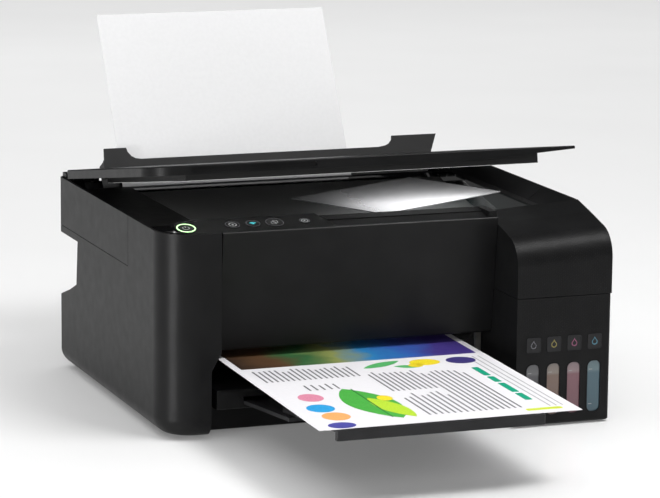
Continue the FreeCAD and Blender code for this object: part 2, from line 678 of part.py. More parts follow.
def shut_lid():
    """The lid as it lies shut: a thin skin with a skirt, thinner over the raised right rim."""
    outer = lid_outline(-HALF, HALF, LID_FRONT, LID_BACK, CORNER_R, LID_UNDER, LID_TOP)
    outer = round_edges(outer, 1.0, lambda p, d: p.z > LID_TOP - 0.1 and p.y < LID_BACK - 1)
    inner = lid_outline(-HALF + WALL, HALF - WALL, LID_FRONT + WALL, LID_BACK - WALL, CORNER_R - WALL,
                        LID_UNDER - 9, LID_TOP - LID_SKIN)
    slope = front_prism([(TANK_LEFT, LID_UNDER - 9), (TANK_LEFT, LID_UNDER), (HALF + 2, RIM_RIGHT + 0.5),
                         (HALF + 2, LID_UNDER - 9)], LID_FRONT - 9, LID_BACK + 9)
    groove = box(-154, -45, LID_FRONT - 1, LID_FRONT + 1.4, LID_UNDER + 1.4, LID_TOP - 2.2)
    groove = round_edges(groove, 1.9, lambda p, d: abs(d.y) > 0.9)
    shell = cut(outer, inner, slope, groove)
    for side in (-1, 1):
        x0, x1 = sorted((side * 148, side * (HALF + 1)))
        shell = cut(shell, box(x0, x1, 146, LID_BACK + 1, 160, LID_TOP + 1))
    for side in (-1, 1):
        arm = fuse(box(158, 162, 136, HINGE_Y, HINGE_Z, LID_TOP - LID_SKIN),
                   rod(4.0, (158, HINGE_Y, HINGE_Z), X_AXIS, 4),
                   rod(LID_PIN_R, (161, HINGE_Y, HINGE_Z), X_AXIS, 9))
        shell = fuse(shell, arm if side > 0 else mirrored(arm))
    return shell


def at_lid_rest(shape):
    return turned(shape, (0, HINGE_Y, HINGE_Z), X_AXIS, -LID_REST)


def make_lid_pad():
    return at_lid_rest(box(-156, 156, LID_FRONT + 10, 130, BED_Z + 0.9, LID_TOP - LID_SKIN - TOUCH))


# ---- rear feed ------------------------------------------------------------

def make_feed_slope():
    """Sloping hopper behind the paper with side rails, a fixed right guide and a foot ledge."""
    left, right = SUPPORT_LEFT - 1.0, SUPPORT_RIGHT - 5.5
    plate = feed(left, right, -165, -57, GAP, 2.5)
    rails = [feed(left - 2.5, left, -165, -57, GAP, 8.5), feed(right, right + 2.5, -165, -57, GAP, 8.5)]
    tie = feed(left, right, -165, -156, 2, 8.5)
    ledge = feed(-60, 0, REAR_FOOT - 3, REAR_FOOT - GAP, -5, 1)
    guide_x = REAR_LEFT + PAPER_W + GAP
    guide = feed(guide_x, guide_x + 3, -140, -57, -5, 1)
    legs = [box(left - 2.5, left, 84, 104, FOOT + 2 * WALL + 2 * TOUCH, 46),
            box(right, right + 2.5, 84, 104, FOOT + 2 * WALL + 2 * TOUCH, 46)]
    slot = feed(REAR_LEFT - 9, REAR_LEFT + 127, -100, -94, -1, 3)
    return cut(fuse(plate, tie, ledge, guide, *rails, *legs), slot)


def make_edge_guide():
    """Sliding paper guide: a tab beside the sheet on a foot that rides in the slope's slot."""
    right = REAR_LEFT - GAP
    tab = feed(right - 3, right, -136, -60, -5, 0.0)
    neck = feed(right - 3, right, -99.4, -94.6, -0.5, 3.2)
    foot = feed(right - 7, right + 5, -104, -90, 2.8, 4.0)
    return fuse(tab, neck, foot)


def ear_outline(x, steps):
    """An ear as x, s points: out from the guard strip's end at x, each step (inward, down from EAR_TOP)."""
    inward = 1 if x < 0 else -1
    points = [(x, GUARD_LOW)]
    for along, drop in steps:
        points.append((x + inward * along, EAR_TOP - drop))
    return points + [(points[-1][0], GUARD_LOW)]


def make_paper_support():
    """Sliding rest behind the paper, joined past the sheet's sides to a guard strip with two ears."""
    behind = SUPPORT_N + SUPPORT_T
    right = SUPPORT_RIGHT - 6.5
    plate = feed(SUPPORT_LEFT, right, SUPPORT_LOW, SUPPORT_TOP, SUPPORT_N, behind)
    strip = feed(SUPPORT_LEFT, GUARD_RIGHT, GUARD_LOW, GUARD_TOP, GUARD_N, GUARD_N + GUARD_T)
    sides = [feed(SUPPORT_LEFT, SUPPORT_LEFT + 3, GUARD_LOW, SUPPORT_TOP, GUARD_N, behind),
             feed(right - 3, right, GUARD_LOW, SUPPORT_TOP, GUARD_N, behind)]
    drop = EAR_TOP - GUARD_TOP
    outlines = (ear_outline(SUPPORT_LEFT, ((2, 0), (22.6, 0), (23.5, 3.9), (26.3, 7.8), (30, 10.2),
                                           (35, drop))),
                ear_outline(GUARD_RIGHT, ((-8, 0.8), (35.7, 0.8), (36.5, 4.5), (39.5, 8), (43, 9.8),
                                          (50, drop))))
    ears = []
    for outline in outlines:
        ear = extrude([(x, s, -GUARD_N - GUARD_T) for x, s in outline], V(0, 0, GUARD_T))
        ears.append(in_plane(FEED_REF, LEAN, ear))
    ribs = [feed(x, x + 2, -38, SUPPORT_TOP - 2, 0.4, SUPPORT_N + 0.6) for x in (-120, -60, 0, 60)]
    return fuse(plate, strip, *sides, *ears, *ribs)


def make_rear_sheet():
    return feed(REAR_LEFT, REAR_LEFT + PAPER_W, REAR_FOOT, REAR_FOOT + PAPER_L, -PAPER_T, 0)


def make_photo_card():
    """A 105 by 155 mm print lying askew on the glass."""
    card = box(-52.5, 52.5, -77.5, 77.5, BED_Z + 0.05, BED_Z + 0.05 + PAPER_T)
    card.rotate(V(0, 0, 0), Z_AXIS, -62.5)
    card.translate(V(73, 22, 0))
    return card


# ---- output side ----------------------------------------------------------

def make_output_frame():
    """Lower beam and the flat sleeve that the output tray slides in."""
    right = TANK_LEFT - SEAM
    beam = box(OPENING_LEFT + GAP, right, SILL_FRONT, SILL_FRONT + 16, 3.0, 24.5)
    beam = round_edges(beam, 2.0, lambda p, d: p.y < SILL_FRONT + 0.5 and abs(d.x) > 0.9)
    block = box(COLUMN_RIGHT - 3.6, right - 5, OUT_REF[0], SILL_FRONT + 16, 24.5, 40.5)
    block = round_edges(block, 2.0, lambda p, d: p.y < OUT_REF[0] + 0.5 and abs(d.x) > 0.9)
    sleeve_body = out(-124, 46, -150, -15, -7.2, 4.4)
    channel = out(-120, 42, -160, 20, -4.9, 2.1)
    skirts = [box(x, x + 6, SILL_FRONT + 14, SILL_FRONT + 26, 7.6, 20) for x in (-140.0, 90.0)]
    return cut(fuse(beam, block, sleeve_body, *skirts), channel)


def make_tray_lower():
    plate = out(-119.4, 41.4, -30, 107.5, -4.5, -1.5)
    recess = out(-112, 34, -26, 104, -2.4, 0)
    return cut(plate, recess)


def make_tray_upper():
    """Outer tray stage with its raised front lip."""
    plate = out(-114.0, 36.0, 78, TRAY_OUT - 2, -1.0, 1.6)
    lip = box(LIP_LEFT, LIP_RIGHT, -358, -354, 51.4, 59.5)
    lip = round_edges(lip, 1.6, lambda p, d: p.y < -357.5 and abs(d.z) > 0.9)
    web = out(-118, 40, TRAY_OUT - 14, TRAY_OUT - 2.5, -1.0, 1.6)
    ribs = [out(x, x + 2, 90, TRAY_OUT - 3, 1.4, 1.9) for x in (-80.0, -40.0, 0.0)]
    return fuse(plate, lip, web, *ribs)


def make_printed_sheet():
    back = PRINT_FRONT + PAPER_L
    rise = PRINT_RISE * PAPER_L
    outline = [(PRINT_FRONT, PRINT_Z), (back, PRINT_Z + rise), (back, PRINT_Z + rise + PAPER_T),
               (PRINT_FRONT, PRINT_Z + PAPER_T)]
    return side_prism(outline, PRINT_LEFT, PRINT_LEFT + PAPER_W)


# ---- mechanism ------------------------------------------------------------

def gear(teeth, centre, phase, bore):
    """Spur gear with straight-flanked teeth, turning about X."""
    pitch_r = MODULE * teeth / 2
    root = pitch_r - 1.25 * MODULE
    tip = pitch_r + 0.85 * MODULE
    step = 2 * math.pi / teeth
    points = []
    for index in range(teeth):
        angle = phase + index * step
        for radius, share in ((root, -0.30), (tip, -0.11), (tip, 0.11), (root, 0.30)):
            a = angle + share * step
            points.append((GEAR_X, centre[0] + radius * math.cos(a), centre[1] + radius * math.sin(a)))
    return cut(extrude(points, V(GEAR_W, 0, 0)), rod(bore, (GEAR_X - 1, *centre), X_AXIS, GEAR_W + 2))


def meshed_phase(teeth, centre, other_teeth, other_centre, other_phase):
    """Phase that puts a gap of this gear opposite the other gear's tooth."""
    angle = math.atan2(centre[1] - other_centre[1], centre[0] - other_centre[0])
    other_share = (angle - other_phase) * other_teeth / (2 * math.pi)
    return angle + math.pi - (0.5 - other_share) * 2 * math.pi / teeth


def circle_meet(a, ra, b, rb):
    """Upper-side point at distances ra and rb from a and b, in (y, z)."""
    dy, dz = b[0] - a[0], b[1] - a[1]
    span = math.hypot(dy, dz)
    along = (ra * ra - rb * rb + span * span) / (2 * span)
    off = math.sqrt(max(ra * ra - along * along, 0.0))
    return (a[0] + along * dy / span + off * dz / span, a[1] + along * dz / span - off * dy / span)


IDLER_AXIS = circle_meet(FEED_AXIS, (FEED_TEETH + IDLER_TEETH) * MODULE / 2 + MESH,
                         EJECT_AXIS, (IDLER_TEETH + EJECT_TEETH) * MODULE / 2 + MESH)
PINION_AXIS = (FEED_AXIS[0] + (FEED_TEETH + PINION_TEETH) * MODULE / 2 * math.cos(math.radians(-40)) + MESH,
               FEED_AXIS[1] + (FEED_TEETH + PINION_TEETH) * MODULE / 2 * math.sin(math.radians(-40)))
IDLER_PHASE = meshed_phase(IDLER_TEETH, IDLER_AXIS, FEED_TEETH, FEED_AXIS, 0.0)
PINION_PHASE = meshed_phase(PINION_TEETH, PINION_AXIS, FEED_TEETH, FEED_AXIS, 0.0)
EJECT_PHASE = meshed_phase(EJECT_TEETH, EJECT_AXIS, IDLER_TEETH, IDLER_AXIS, IDLER_PHASE)
PICK_AXIS = feed_point(-130, -(PICK_R + 0.6))


def roller(centre, radius, spans, x0, x1):
    """Steel shaft with rubber sleeves between the given x spans, as one turning piece."""
    shaft = rod(SHAFT_R, (x0, *centre), X_AXIS, x1 - x0)
    return fuse(shaft, *[rod(radius, (a, *centre), X_AXIS, b - a) for a, b in spans])


def make_feed_roller():
    turning = roller(FEED_AXIS, FEED_R, [(-142, 92)], -PLATE_X - SHEET_METAL, MID_PLATE + SHEET_METAL)
    return fuse(turning, gear(FEED_TEETH, FEED_AXIS, 0.0, SHAFT_R - 0.2))


def make_eject_roller():
    spans = [(x, x + 12) for x in range(-132, 92, 32)]
    turning = roller(EJECT_AXIS, EJECT_R, spans, -PLATE_X - SHEET_METAL, MID_PLATE + SHEET_METAL)
    return fuse(turning, gear(EJECT_TEETH, EJECT_AXIS, EJECT_PHASE, SHAFT_R - 0.2))


def make_idler_gear():
    hub = sleeve(5, 2.0 + SHAFT_FIT, (GEAR_X, *IDLER_AXIS), X_AXIS, GEAR_W + 1)
    return fuse(gear(IDLER_TEETH, IDLER_AXIS, IDLER_PHASE, 3.0), hub)


def make_motor_pinion():
    return gear(PINION_TEETH, PINION_AXIS, PINION_PHASE, 1.5)


def make_star_wheels():
    """Thin star wheels on one spindle above the eject roller."""
    centre = (EJECT_AXIS[0], EJECT_AXIS[1] + EJECT_R + 2 * GAP + PAPER_T + 5.0)
    wheels = [rod(1.5, (-140, *centre), X_AXIS, 232)]
    for x in range(-126, 92, 32):
        wheels.append(rod(4.6, (x, *centre), X_AXIS, 1.2))
    return fuse(*wheels)


def make_pickup_roller():
    return roller(PICK_AXIS, PICK_R, [(-50, -10)], -PLATE_X - SHEET_METAL, MID_PLATE + SHEET_METAL)


def make_chassis():
    """Folded sheet-metal frame: two end plates, a middle bearing plate and two ties."""
    low = FOOT + 2 * WALL + 2 * TOUCH
    bearing = cut(box(MID_PLATE, MID_PLATE + SHEET_METAL, -90, 103, low, 88),
                  box(MID_PLATE - 1, MID_PLATE + 9, 84, 119, low - 1, 64),
                  box(MID_PLATE - 1, MID_PLATE + 9, -68, -12, 67, 99))
    plates = [box(-PLATE_X - SHEET_METAL, -PLATE_X, -90, 112, 20, 124),
              box(PLATE_X, PLATE_X + SHEET_METAL, -88, 60, 20, 124), bearing]
    ties = [box(-PLATE_X, PLATE_X, 24, 24 + SHEET_METAL, 100, 124),
            box(-PLATE_X, PLATE_X, 24, 60, 20, 20 + SHEET_METAL)]
    ties.append(box(-150, MID_PLATE, 24, 24 + SHEET_METAL, low, 21))
    holes = []
    for centre, radius in ((FEED_AXIS, SHAFT_R), (EJECT_AXIS, SHAFT_R), (PICK_AXIS, SHAFT_R)):
        holes.append(rod(radius + SHAFT_FIT, (-HALF, *centre), X_AXIS, WIDTH))
    holes.append(rod(ROD_R + 0.02, (-HALF, *ROD), X_AXIS, WIDTH))
    stub = rod(2.0, (-PLATE_X - 0.5, *IDLER_AXIS), X_AXIS, 14)
    wheel_z = EJECT_AXIS[1] + EJECT_R + 2 * GAP + PAPER_T + 5.0
    hangers = [sleeve(3.2, 1.5 + SHAFT_FIT, (x, EJECT_AXIS[0], wheel_z), X_AXIS, 2) for x in (-138.0, 88.0)]
    hangers += [box(x, x + 2, EJECT_AXIS[0] - 1.5, EJECT_AXIS[0] + 1.5, wheel_z + 2.8, 104)
                for x in (-138.0, 88.0)]
    beam = box(-PLATE_X, PLATE_X, EJECT_AXIS[0] - 1.5, EJECT_AXIS[0], 98, 122)
    return fuse(cut(fuse(plates[0], *plates[1:], *ties), *holes), stub, beam, *hangers)


def make_platen():
    top = EJECT_AXIS[1] + EJECT_R - 1.2
    slab = box(-146, 97, -74, -16, top - 6, top - 2)
    ribs = [box(x, x + 2, -73, -17, top - 3, top) for x in range(-140, 92, 14)]
    return fuse(slab, *ribs, box(97, MID_PLATE - TOUCH, -60, -30, top - 6, top - 2))


def make_carriage_rail():
    return rod(ROD_R, (-PLATE_X - SHEET_METAL, *ROD), X_AXIS, 2 * (PLATE_X + SHEET_METAL))


def make_carriage():
    """Carriage on the rail with the print head under it and the belt clip behind."""
    shell = box(PARK_X - 28, PARK_X + 28, -64, -16, 76, 120)
    pocket = box(PARK_X - 25, PARK_X + 25, -61, -41, 82, 130)
    head = box(PARK_X - 18, PARK_X + 18, -62, -42, 69.5, 78)
    clip = box(PARK_X - 8, PARK_X + 8, -17, PULLEY_Y - PULLEY_R - 1 - GAP, PULLEY_Z - 4, PULLEY_Z + 4)
    return cut(fuse(shell, head, clip), pocket,
               rod(ROD_R + SHAFT_FIT, (PARK_X - 40, *ROD), X_AXIS, 80))


def make_drive_motors():
    """Carriage motor under its pulley and feed motor beside its pinion."""
    low = PULLEY_Z - 6.5
    carriage = fuse(rod(15, (DRIVE_X, PULLEY_Y, low - 18), Z_AXIS, 18),
                    rod(1.5, (DRIVE_X, PULLEY_Y, low - 1), Z_AXIS, 12))
    feeder = fuse(rod(13, (GEAR_X + GEAR_W + 3, *PINION_AXIS), X_AXIS, 26),
                  rod(1.44, (GEAR_X - 1, *PINION_AXIS), X_AXIS, 12))
    return Part.Compound([carriage, feeder])


def make_pulley(x):
    wheel = fuse(rod(PULLEY_R, (x, PULLEY_Y, PULLEY_Z - 4), Z_AXIS, 8),
                 rod(PULLEY_R + 1.6, (x, PULLEY_Y, PULLEY_Z - 4.9), Z_AXIS, 0.9),
                 rod(PULLEY_R + 1.6, (x, PULLEY_Y, PULLEY_Z + 4), Z_AXIS, 0.9))
    return cut(wheel, rod(1.5 + SHAFT_FIT, (x, PULLEY_Y, PULLEY_Z - 9), Z_AXIS, 30))


def make_carriage_belt():
    inner = PULLEY_R + 0.05
    outer = inner + 0.95

    def loop(radius, z0, z1):
        ends = [rod(radius, (x, PULLEY_Y, z0), Z_AXIS, z1 - z0) for x in (DRIVE_X, IDLER_X)]
        return fuse(box(DRIVE_X, IDLER_X, PULLEY_Y - radius, PULLEY_Y + radius, z0, z1), *ends)

    return cut(loop(outer, PULLEY_Z - 3, PULLEY_Z + 3), loop(inner, PULLEY_Z - 4, PULLEY_Z + 4))


def make_idler_bracket():
    """Bracket on the chassis tie that carries the idler pulley's pin."""
    pin = rod(1.5, (IDLER_X, PULLEY_Y, PULLEY_Z - 7), Z_AXIS, 13)
    arm = box(IDLER_X - 6, IDLER_X + 6, PULLEY_Y - 4, 24, PULLEY_Z - 8.5, PULLEY_Z - 6)
    return fuse(pin, arm)


def make_maintenance_station():
    """Capping tray under the parked head: a case, a cap with a rubber lip and a waste pad."""
    low = FOOT + 2 * WALL + 2 * TOUCH
    case = cut(box(PARK_X - 32, PARK_X + 30, -74, -20, low, 62),
               box(PARK_X - 29, PARK_X + 27, -71, -23, low + 3, 70))
    post = box(PARK_X - 14, PARK_X + 14, -62, -42, low + 2, 64)
    lip = cut(box(PARK_X - 17, PARK_X + 17, -62, -42, 64, 69), box(PARK_X - 15, PARK_X + 15, -60, -44, 65, 71))
    pad = box(PARK_X - 28, PARK_X - 16, -70, -24, low + 3.2, low + 18)
    return Part.Compound([fuse(case, post, lip), pad])


def make_main_board():
    """Circuit board on the pan behind the mechanism, with chips and headers."""
    low = FOOT + 2 * WALL + 2 * TOUCH
    board = box(-92, 20, 128, 166, low + 4, low + 5.6)
    posts = [box(x, x + 4, y, y + 4, low, low + 4) for x in (-90.0, 12.0) for y in (130.0, 160.0)]
    parts = [box(-60, -40, 138, 158, low + 5.6, low + 7.4), box(-20, -4, 140, 152, low + 5.6, low + 8),
             box(2, 18, 132, 136, low + 5.6, low + 12)]
    return fuse(board, *posts, *parts)


def make_power_supply():
    low = FOOT + 2 * WALL + 2 * TOUCH
    return box(40, 98, 122, 166, low, 30)


def ship():
    lid = shut_lid()
    parts = {
        "base_pan": make_base_pan(), "left_housing": make_left_housing(),
        "right_housing": make_right_housing(), "upper_housing": make_upper_housing(),
        "rear_cover": make_rear_cover(), "front_panel": make_front_panel(),
        "front_ledge": make_front_ledge(), "control_console": make_control_console(),
        "output_frame": make_output_frame(), "rubber_feet": make_rubber_feet(),
        "chassis_frame": fuse(make_chassis(), make_idler_bracket()),
        "carriage_rail": make_carriage_rail(), "platen": make_platen(),
        "drive_motors": make_drive_motors(), "maintenance_station": make_maintenance_station(),
        "main_board": make_main_board(), "power_supply": make_power_supply(),
        "power_inlet": make_power_inlet(), "usb_port": make_usb_port(),
        "case_screws": make_case_screws(), "tank_housing": make_tank_housing(),
        "ink_tubes": make_ink_tubes(), "feed_slope": make_feed_slope(),
        "carriage_belt": make_carriage_belt(), "carriage": make_carriage(),
        "drive_pulley": make_pulley(DRIVE_X), "idler_pulley": make_pulley(IDLER_X),
        "feed_roller": make_feed_roller(), "idler_gear": make_idler_gear(),
        "motor_pinion": make_motor_pinion(), "eject_roller": make_eject_roller(),
        "star_wheels": make_star_wheels(), "pickup_roller": make_pickup_roller(),
        "scanner_base": make_scanner_base(), "scan_bezel": make_scan_bezel(),
        "scan_glass": make_scan_glass(), "scan_sensor": make_scan_sensor(),
        "scanner_lid": at_lid_rest(lid), "lid_pad": make_lid_pad(),
        "tank_cover": make_tank_cover(), "paper_support": make_paper_support(),
        "edge_guide": make_edge_guide(), "tray_lower": make_tray_lower(),
        "tray_upper": make_tray_upper(), "rear_sheet": make_rear_sheet(),
        "printed_sheet": make_printed_sheet(), "photo_card": make_photo_card(),
    }
    for index, ink in enumerate(TANKS):
        parts["ink_tank_" + ink] = make_tank(index)
        parts["tank_cap_" + ink] = make_cap(index)
    for name, x, y, radius in BUTTONS:
        parts[name] = make_button(x, y, radius)
    os.makedirs("parts", exist_ok=True)
    for name, shape in parts.items():
        shape.exportStep("parts/" + name + ".step")
        if not shape.isValid():
            print("not valid:", name)


ship()
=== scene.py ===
"""Looks of a desktop ink tank printer, laid out as a Blender add-on and run as a script."""
import json
import math

import bmesh
import bpy
from mathutils import Matrix, Vector
from mathutils.bvhtree import BVHTree


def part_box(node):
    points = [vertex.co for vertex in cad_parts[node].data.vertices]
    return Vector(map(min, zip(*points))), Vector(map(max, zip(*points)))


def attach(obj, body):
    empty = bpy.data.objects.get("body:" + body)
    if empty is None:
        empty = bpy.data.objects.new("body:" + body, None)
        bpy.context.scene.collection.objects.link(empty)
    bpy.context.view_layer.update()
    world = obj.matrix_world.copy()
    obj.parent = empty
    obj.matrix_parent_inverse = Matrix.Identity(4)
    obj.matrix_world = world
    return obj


bl_info = {
    "name": "Ink Tank Printer",
    "version": (1, 0, 0),
    "blender": (4, 5, 0),
    "location": "View3D > Sidebar > Printer",
    "description": "Finishes and small pieces for a printer with scanner, paper feed and ink tanks",
    "category": "Add Mesh",
}

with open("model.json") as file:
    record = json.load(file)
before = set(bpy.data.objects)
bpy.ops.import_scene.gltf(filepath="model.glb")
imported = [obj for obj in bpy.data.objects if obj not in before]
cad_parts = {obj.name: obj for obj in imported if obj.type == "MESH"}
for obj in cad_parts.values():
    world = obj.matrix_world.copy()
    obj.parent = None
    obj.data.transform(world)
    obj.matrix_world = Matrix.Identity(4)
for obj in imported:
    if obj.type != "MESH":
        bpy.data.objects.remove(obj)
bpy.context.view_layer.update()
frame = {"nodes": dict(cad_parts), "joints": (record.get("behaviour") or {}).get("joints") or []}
JOINTS = {joint["name"]: joint for joint in frame["joints"]}
INKS = ("black", "yellow", "magenta", "cyan")


# ---- materials --------------------------------------------------------------

class Finish:
    """A Principled material with the usual helper nodes on Object coordinates."""

    def __init__(self, name, **sockets):
        self.material = bpy.data.materials.new(name)
        self.material.use_nodes = True
        self.nodes = self.material.node_tree.nodes
        self.links = self.material.node_tree.links
        self.shader = self.nodes["Principled BSDF"]
        self.coords = self.nodes.new("ShaderNodeTexCoord").outputs["Object"]
        for socket, value in sockets.items():
            self.shader.inputs[socket.replace("_", " ")].default_value = value

    def noise(self, scale, detail=2.0, stretch=None):
        node = self.nodes.new("ShaderNodeTexNoise")
        node.inputs["Scale"].default_value = scale
        node.inputs["Detail"].default_value = detail
        source = self.coords
        if stretch:
            mapping = self.nodes.new("ShaderNodeMapping")
            mapping.inputs["Scale"].default_value = stretch
            self.links.new(source, mapping.inputs["Vector"])
            source = mapping.outputs["Vector"]
        self.links.new(source, node.inputs["Vector"])
        return node.outputs["Fac"]

    def ramp(self, factor, stops):
        node = self.nodes.new("ShaderNodeValToRGB")
        elements = node.color_ramp.elements
        while len(elements) < len(stops):
            elements.new(0.5)
        for element, (place, colour) in zip(elements, stops):
            element.position = place
            element.color = (*colour, 1.0)
        self.links.new(factor, node.inputs["Fac"])
        return node.outputs["Color"]

    def mottle(self, colour, scale=40.0, spread=0.12):
        """Slight unevenness of tone over the surface."""
        dark = [c * (1 - spread) for c in colour]
        light = [c * (1 + spread) for c in colour]
        tone = self.ramp(self.noise(scale), [(0.35, dark), (0.65, light)])
        self.links.new(tone, self.shader.inputs["Base Color"])

    def span(self, factor, low, high):
        node = self.nodes.new("ShaderNodeMapRange")
        node.inputs["To Min"].default_value = low
        node.inputs["To Max"].default_value = high
        self.links.new(factor, node.inputs["Value"])
        return node.outputs["Result"]

    def rough(self, low, high, scale=90.0):
        self.links.new(self.span(self.noise(scale), low, high), self.shader.inputs["Roughness"])

    def grain(self, scale, depth, stretch=None, detail=2.0):
        bump = self.nodes.new("ShaderNodeBump")
        bump.inputs["Distance"].default_value = depth
        bump.inputs["Strength"].default_value = 0.6
        self.links.new(self.noise(scale, detail, stretch), bump.inputs["Height"])
        self.links.new(bump.outputs["Normal"], self.shader.inputs["Normal"])

    def axis_value(self, axis, low, high):
        """0 to 1 as the point goes from low to high along an axis."""
        split = self.nodes.new("ShaderNodeSeparateXYZ")
        self.links.new(self.coords, split.inputs["Vector"])
        return self.span_from(split.outputs[axis], low, high)

    def along(self, direction, low, high):
        """0 to 1 as the point goes from low to high along any direction."""
        dot = self.nodes.new("ShaderNodeVectorMath")
        dot.operation = "DOT_PRODUCT"
        dot.inputs[1].default_value = direction
        self.links.new(self.coords, dot.inputs[0])
        return self.span_from(dot.outputs["Value"], low, high)

    def span_from(self, factor, low, high):
        """0 to 1 as a value goes from low to high."""
        node = self.nodes.new("ShaderNodeMapRange")
        node.inputs["From Min"].default_value = low
        node.inputs["From Max"].default_value = high
        self.links.new(factor, node.inputs["Value"])
        return node.outputs["Result"]


def moulded(name, colour, low, high, scale=2200.0, depth=0.00006, coat=0.0):
    """Moulded plastic with a spark-eroded grain."""
    finish = Finish(name, Coat_Weight=coat, Coat_Roughness=0.08, Specular_IOR_Level=0.15)
    finish.mottle(colour)
    finish.rough(low, high)
    finish.grain(scale, depth)
    return finish.material


def metal(name, colour, low, high, stretch=(1.0, 1.0, 1.0)):
    finish = Finish(name, Metallic=1.0)
    finish.mottle(colour, 60.0, 0.08)
    finish.rough(low, high, 120.0)
    finish.grain(700.0, 0.00003, stretch)
    return finish.material


def ink_bottle(name, ink, empty, low, high):
    """Frosted bottle wall: the ink's colour below its level and paler above it."""
    finish = Finish(name, Coat_Weight=0.35, Coat_Roughness=0.2)
    height = finish.axis_value("Z", low, high)
    tone = finish.ramp(height, [(0.0, [c * 0.8 for c in ink]), (0.74, ink), (0.78, empty), (1.0, empty)])
    finish.links.new(tone, finish.shader.inputs["Base Color"])
    finish.rough(0.25, 0.4, 150.0)
    finish.grain(1500.0, 0.00002)
    return finish.material


def paper_stock(name, colour, low=0.75, high=0.92):
    finish = Finish(name, Specular_IOR_Level=0.25)
    finish.mottle(colour, 300.0, 0.012)
    finish.rough(low, high)
    finish.grain(1600.0, 0.00002, (1.0, 1.4, 1.0), 5.0)
    return finish.material


def flat_print(name, colour):
    """Ink on paper: slightly uneven where the dots of colour overlap."""
    finish = Finish(name, Specular_IOR_Level=0.3)
    finish.mottle(colour, 900.0, 0.10)
    finish.rough(0.5, 0.7)
    return finish.material


def banner_print():
    """Printed banner that fades from brown through green and blue to violet, with soft clouds."""
    finish = Finish("banner print", Specular_IOR_Level=0.3)
    split = finish.axis_value("X", -0.138, 0.078)
    blend = finish.nodes.new("ShaderNodeMath")
    blend.operation = "MULTIPLY_ADD"
    blend.inputs[1].default_value = 0.30
    finish.links.new(finish.noise(28.0, 6.0), blend.inputs[0])
    finish.links.new(split, blend.inputs[2])
    tone = finish.ramp(blend.outputs[0], [
        (0.12, (0.015, 0.010, 0.008)), (0.34, (0.09, 0.045, 0.02)), (0.46, (0.03, 0.12, 0.04)),
        (0.60, (0.25, 0.28, 0.08)), (0.72, (0.02, 0.20, 0.45)), (0.86, (0.03, 0.10, 0.40)),
        (1.0, (0.05, 0.03, 0.20))])
    finish.links.new(tone, finish.shader.inputs["Base Color"])
    finish.rough(0.45, 0.65)
    return finish.material


def card_gloss():
    finish = Finish("photo card", Coat_Weight=0.6, Coat_Roughness=0.06)
    # Base colour runs from dark at the left to pale at the right: painted shade from the lid over the left end
    # and painted light towards the right.
    painted_shade_drift = finish.axis_value("X", -0.02, 0.166)
    tone = finish.ramp(painted_shade_drift, [(0.0, (0.16, 0.16, 0.165)), (0.45, (0.45, 0.45, 0.46)),
                               (1.0, (0.78, 0.78, 0.79))])
    finish.links.new(tone, finish.shader.inputs["Base Color"])
    finish.rough(0.16, 0.24, 60.0)
    return finish.material


LID_UP = (0.0, 0.16677, 0.98600)
PAD_UNDERSIDE = (0.1890, 0.1896)


def pad_sheet():
    """Lid pad: a white underside bonded to dark foam, told apart by height along the tilted lid's normal."""
    finish = Finish("lid pad", Specular_IOR_Level=0.2)
    depth = finish.along(LID_UP, *PAD_UNDERSIDE)
    tone = finish.ramp(depth, [(0.0, (0.80, 0.80, 0.79)), (0.45, (0.80, 0.80, 0.79)),
                               (0.55, (0.02, 0.02, 0.02)), (1.0, (0.02, 0.02, 0.02))])
    finish.links.new(tone, finish.shader.inputs["Base Color"])
    finish.rough(0.6, 0.75)
    finish.grain(700.0, 0.00012)
    return finish.material


def clear_glass():
    finish = Finish("scan glass", Transmission_Weight=0.0, Alpha=1.0, Coat_Weight=1.0, Coat_Roughness=0.02)
    finish.mottle((0.006, 0.008, 0.008), 15.0, 0.2)
    finish.rough(0.03, 0.06, 20.0)
    return finish.material


def glow(name, colour, strength):
    finish = Finish(name, Emission_Strength=strength)
    finish.mottle(colour, 200.0, 0.05)
    finish.shader.inputs["Emission Color"].default_value = (*colour, 1.0)
    return finish.material


def paint(obj, material):
    """Give every slot of an object one material, and each mesh piece a slot."""
    data = obj.data
    if not data.materials:
        data.materials.append(material)
    for index in range(len(data.materials)):
        data.materials[index] = material
    for slot in obj.material_slots:
        slot.material = material


# ---- mesh helpers -----------------------------------------------------------

def new_object(name, mesh):
    obj = bpy.data.objects.new(name, mesh)
    bpy.context.scene.collection.objects.link(obj)
    return obj


def from_bmesh(name, shape, smooth=False):
    bmesh.ops.recalc_face_normals(shape, faces=shape.faces)
    mesh = bpy.data.meshes.new(name)
    shape.to_mesh(mesh)
    shape.free()
    for polygon in mesh.polygons:
        polygon.use_smooth = smooth
    return new_object(name, mesh)


def add_plate(shape, outline, thickness, place):
    """A flat plate from an outline in (a, b), closed, carried to place(a, b, height)."""
    low = [shape.verts.new(place(a, b, 0.0)) for a, b in outline]
    high = [shape.verts.new(place(a, b, thickness)) for a, b in outline]
    shape.faces.new(low[::-1])
    shape.faces.new(high)
    count = len(outline)
    for index in range(count):
        after = (index + 1) % count
        shape.faces.new((low[index], low[after], high[after], high[index]))


def add_frame(shape, outer, inner, thickness, place):
    """A closed flat ring between two outlines with the same number of points."""
    rows = [[shape.verts.new(place(a, b, height)) for a, b in outline]
            for outline, height in ((outer, 0.0), (outer, thickness), (inner, thickness), (inner, 0.0))]
    count = len(outer)
    for index in range(count):
        after = (index + 1) % count
        for row in range(4):
            here, there = rows[row], rows[(row + 1) % 4]
            shape.faces.new((here[index], here[after], there[after], there[index]))


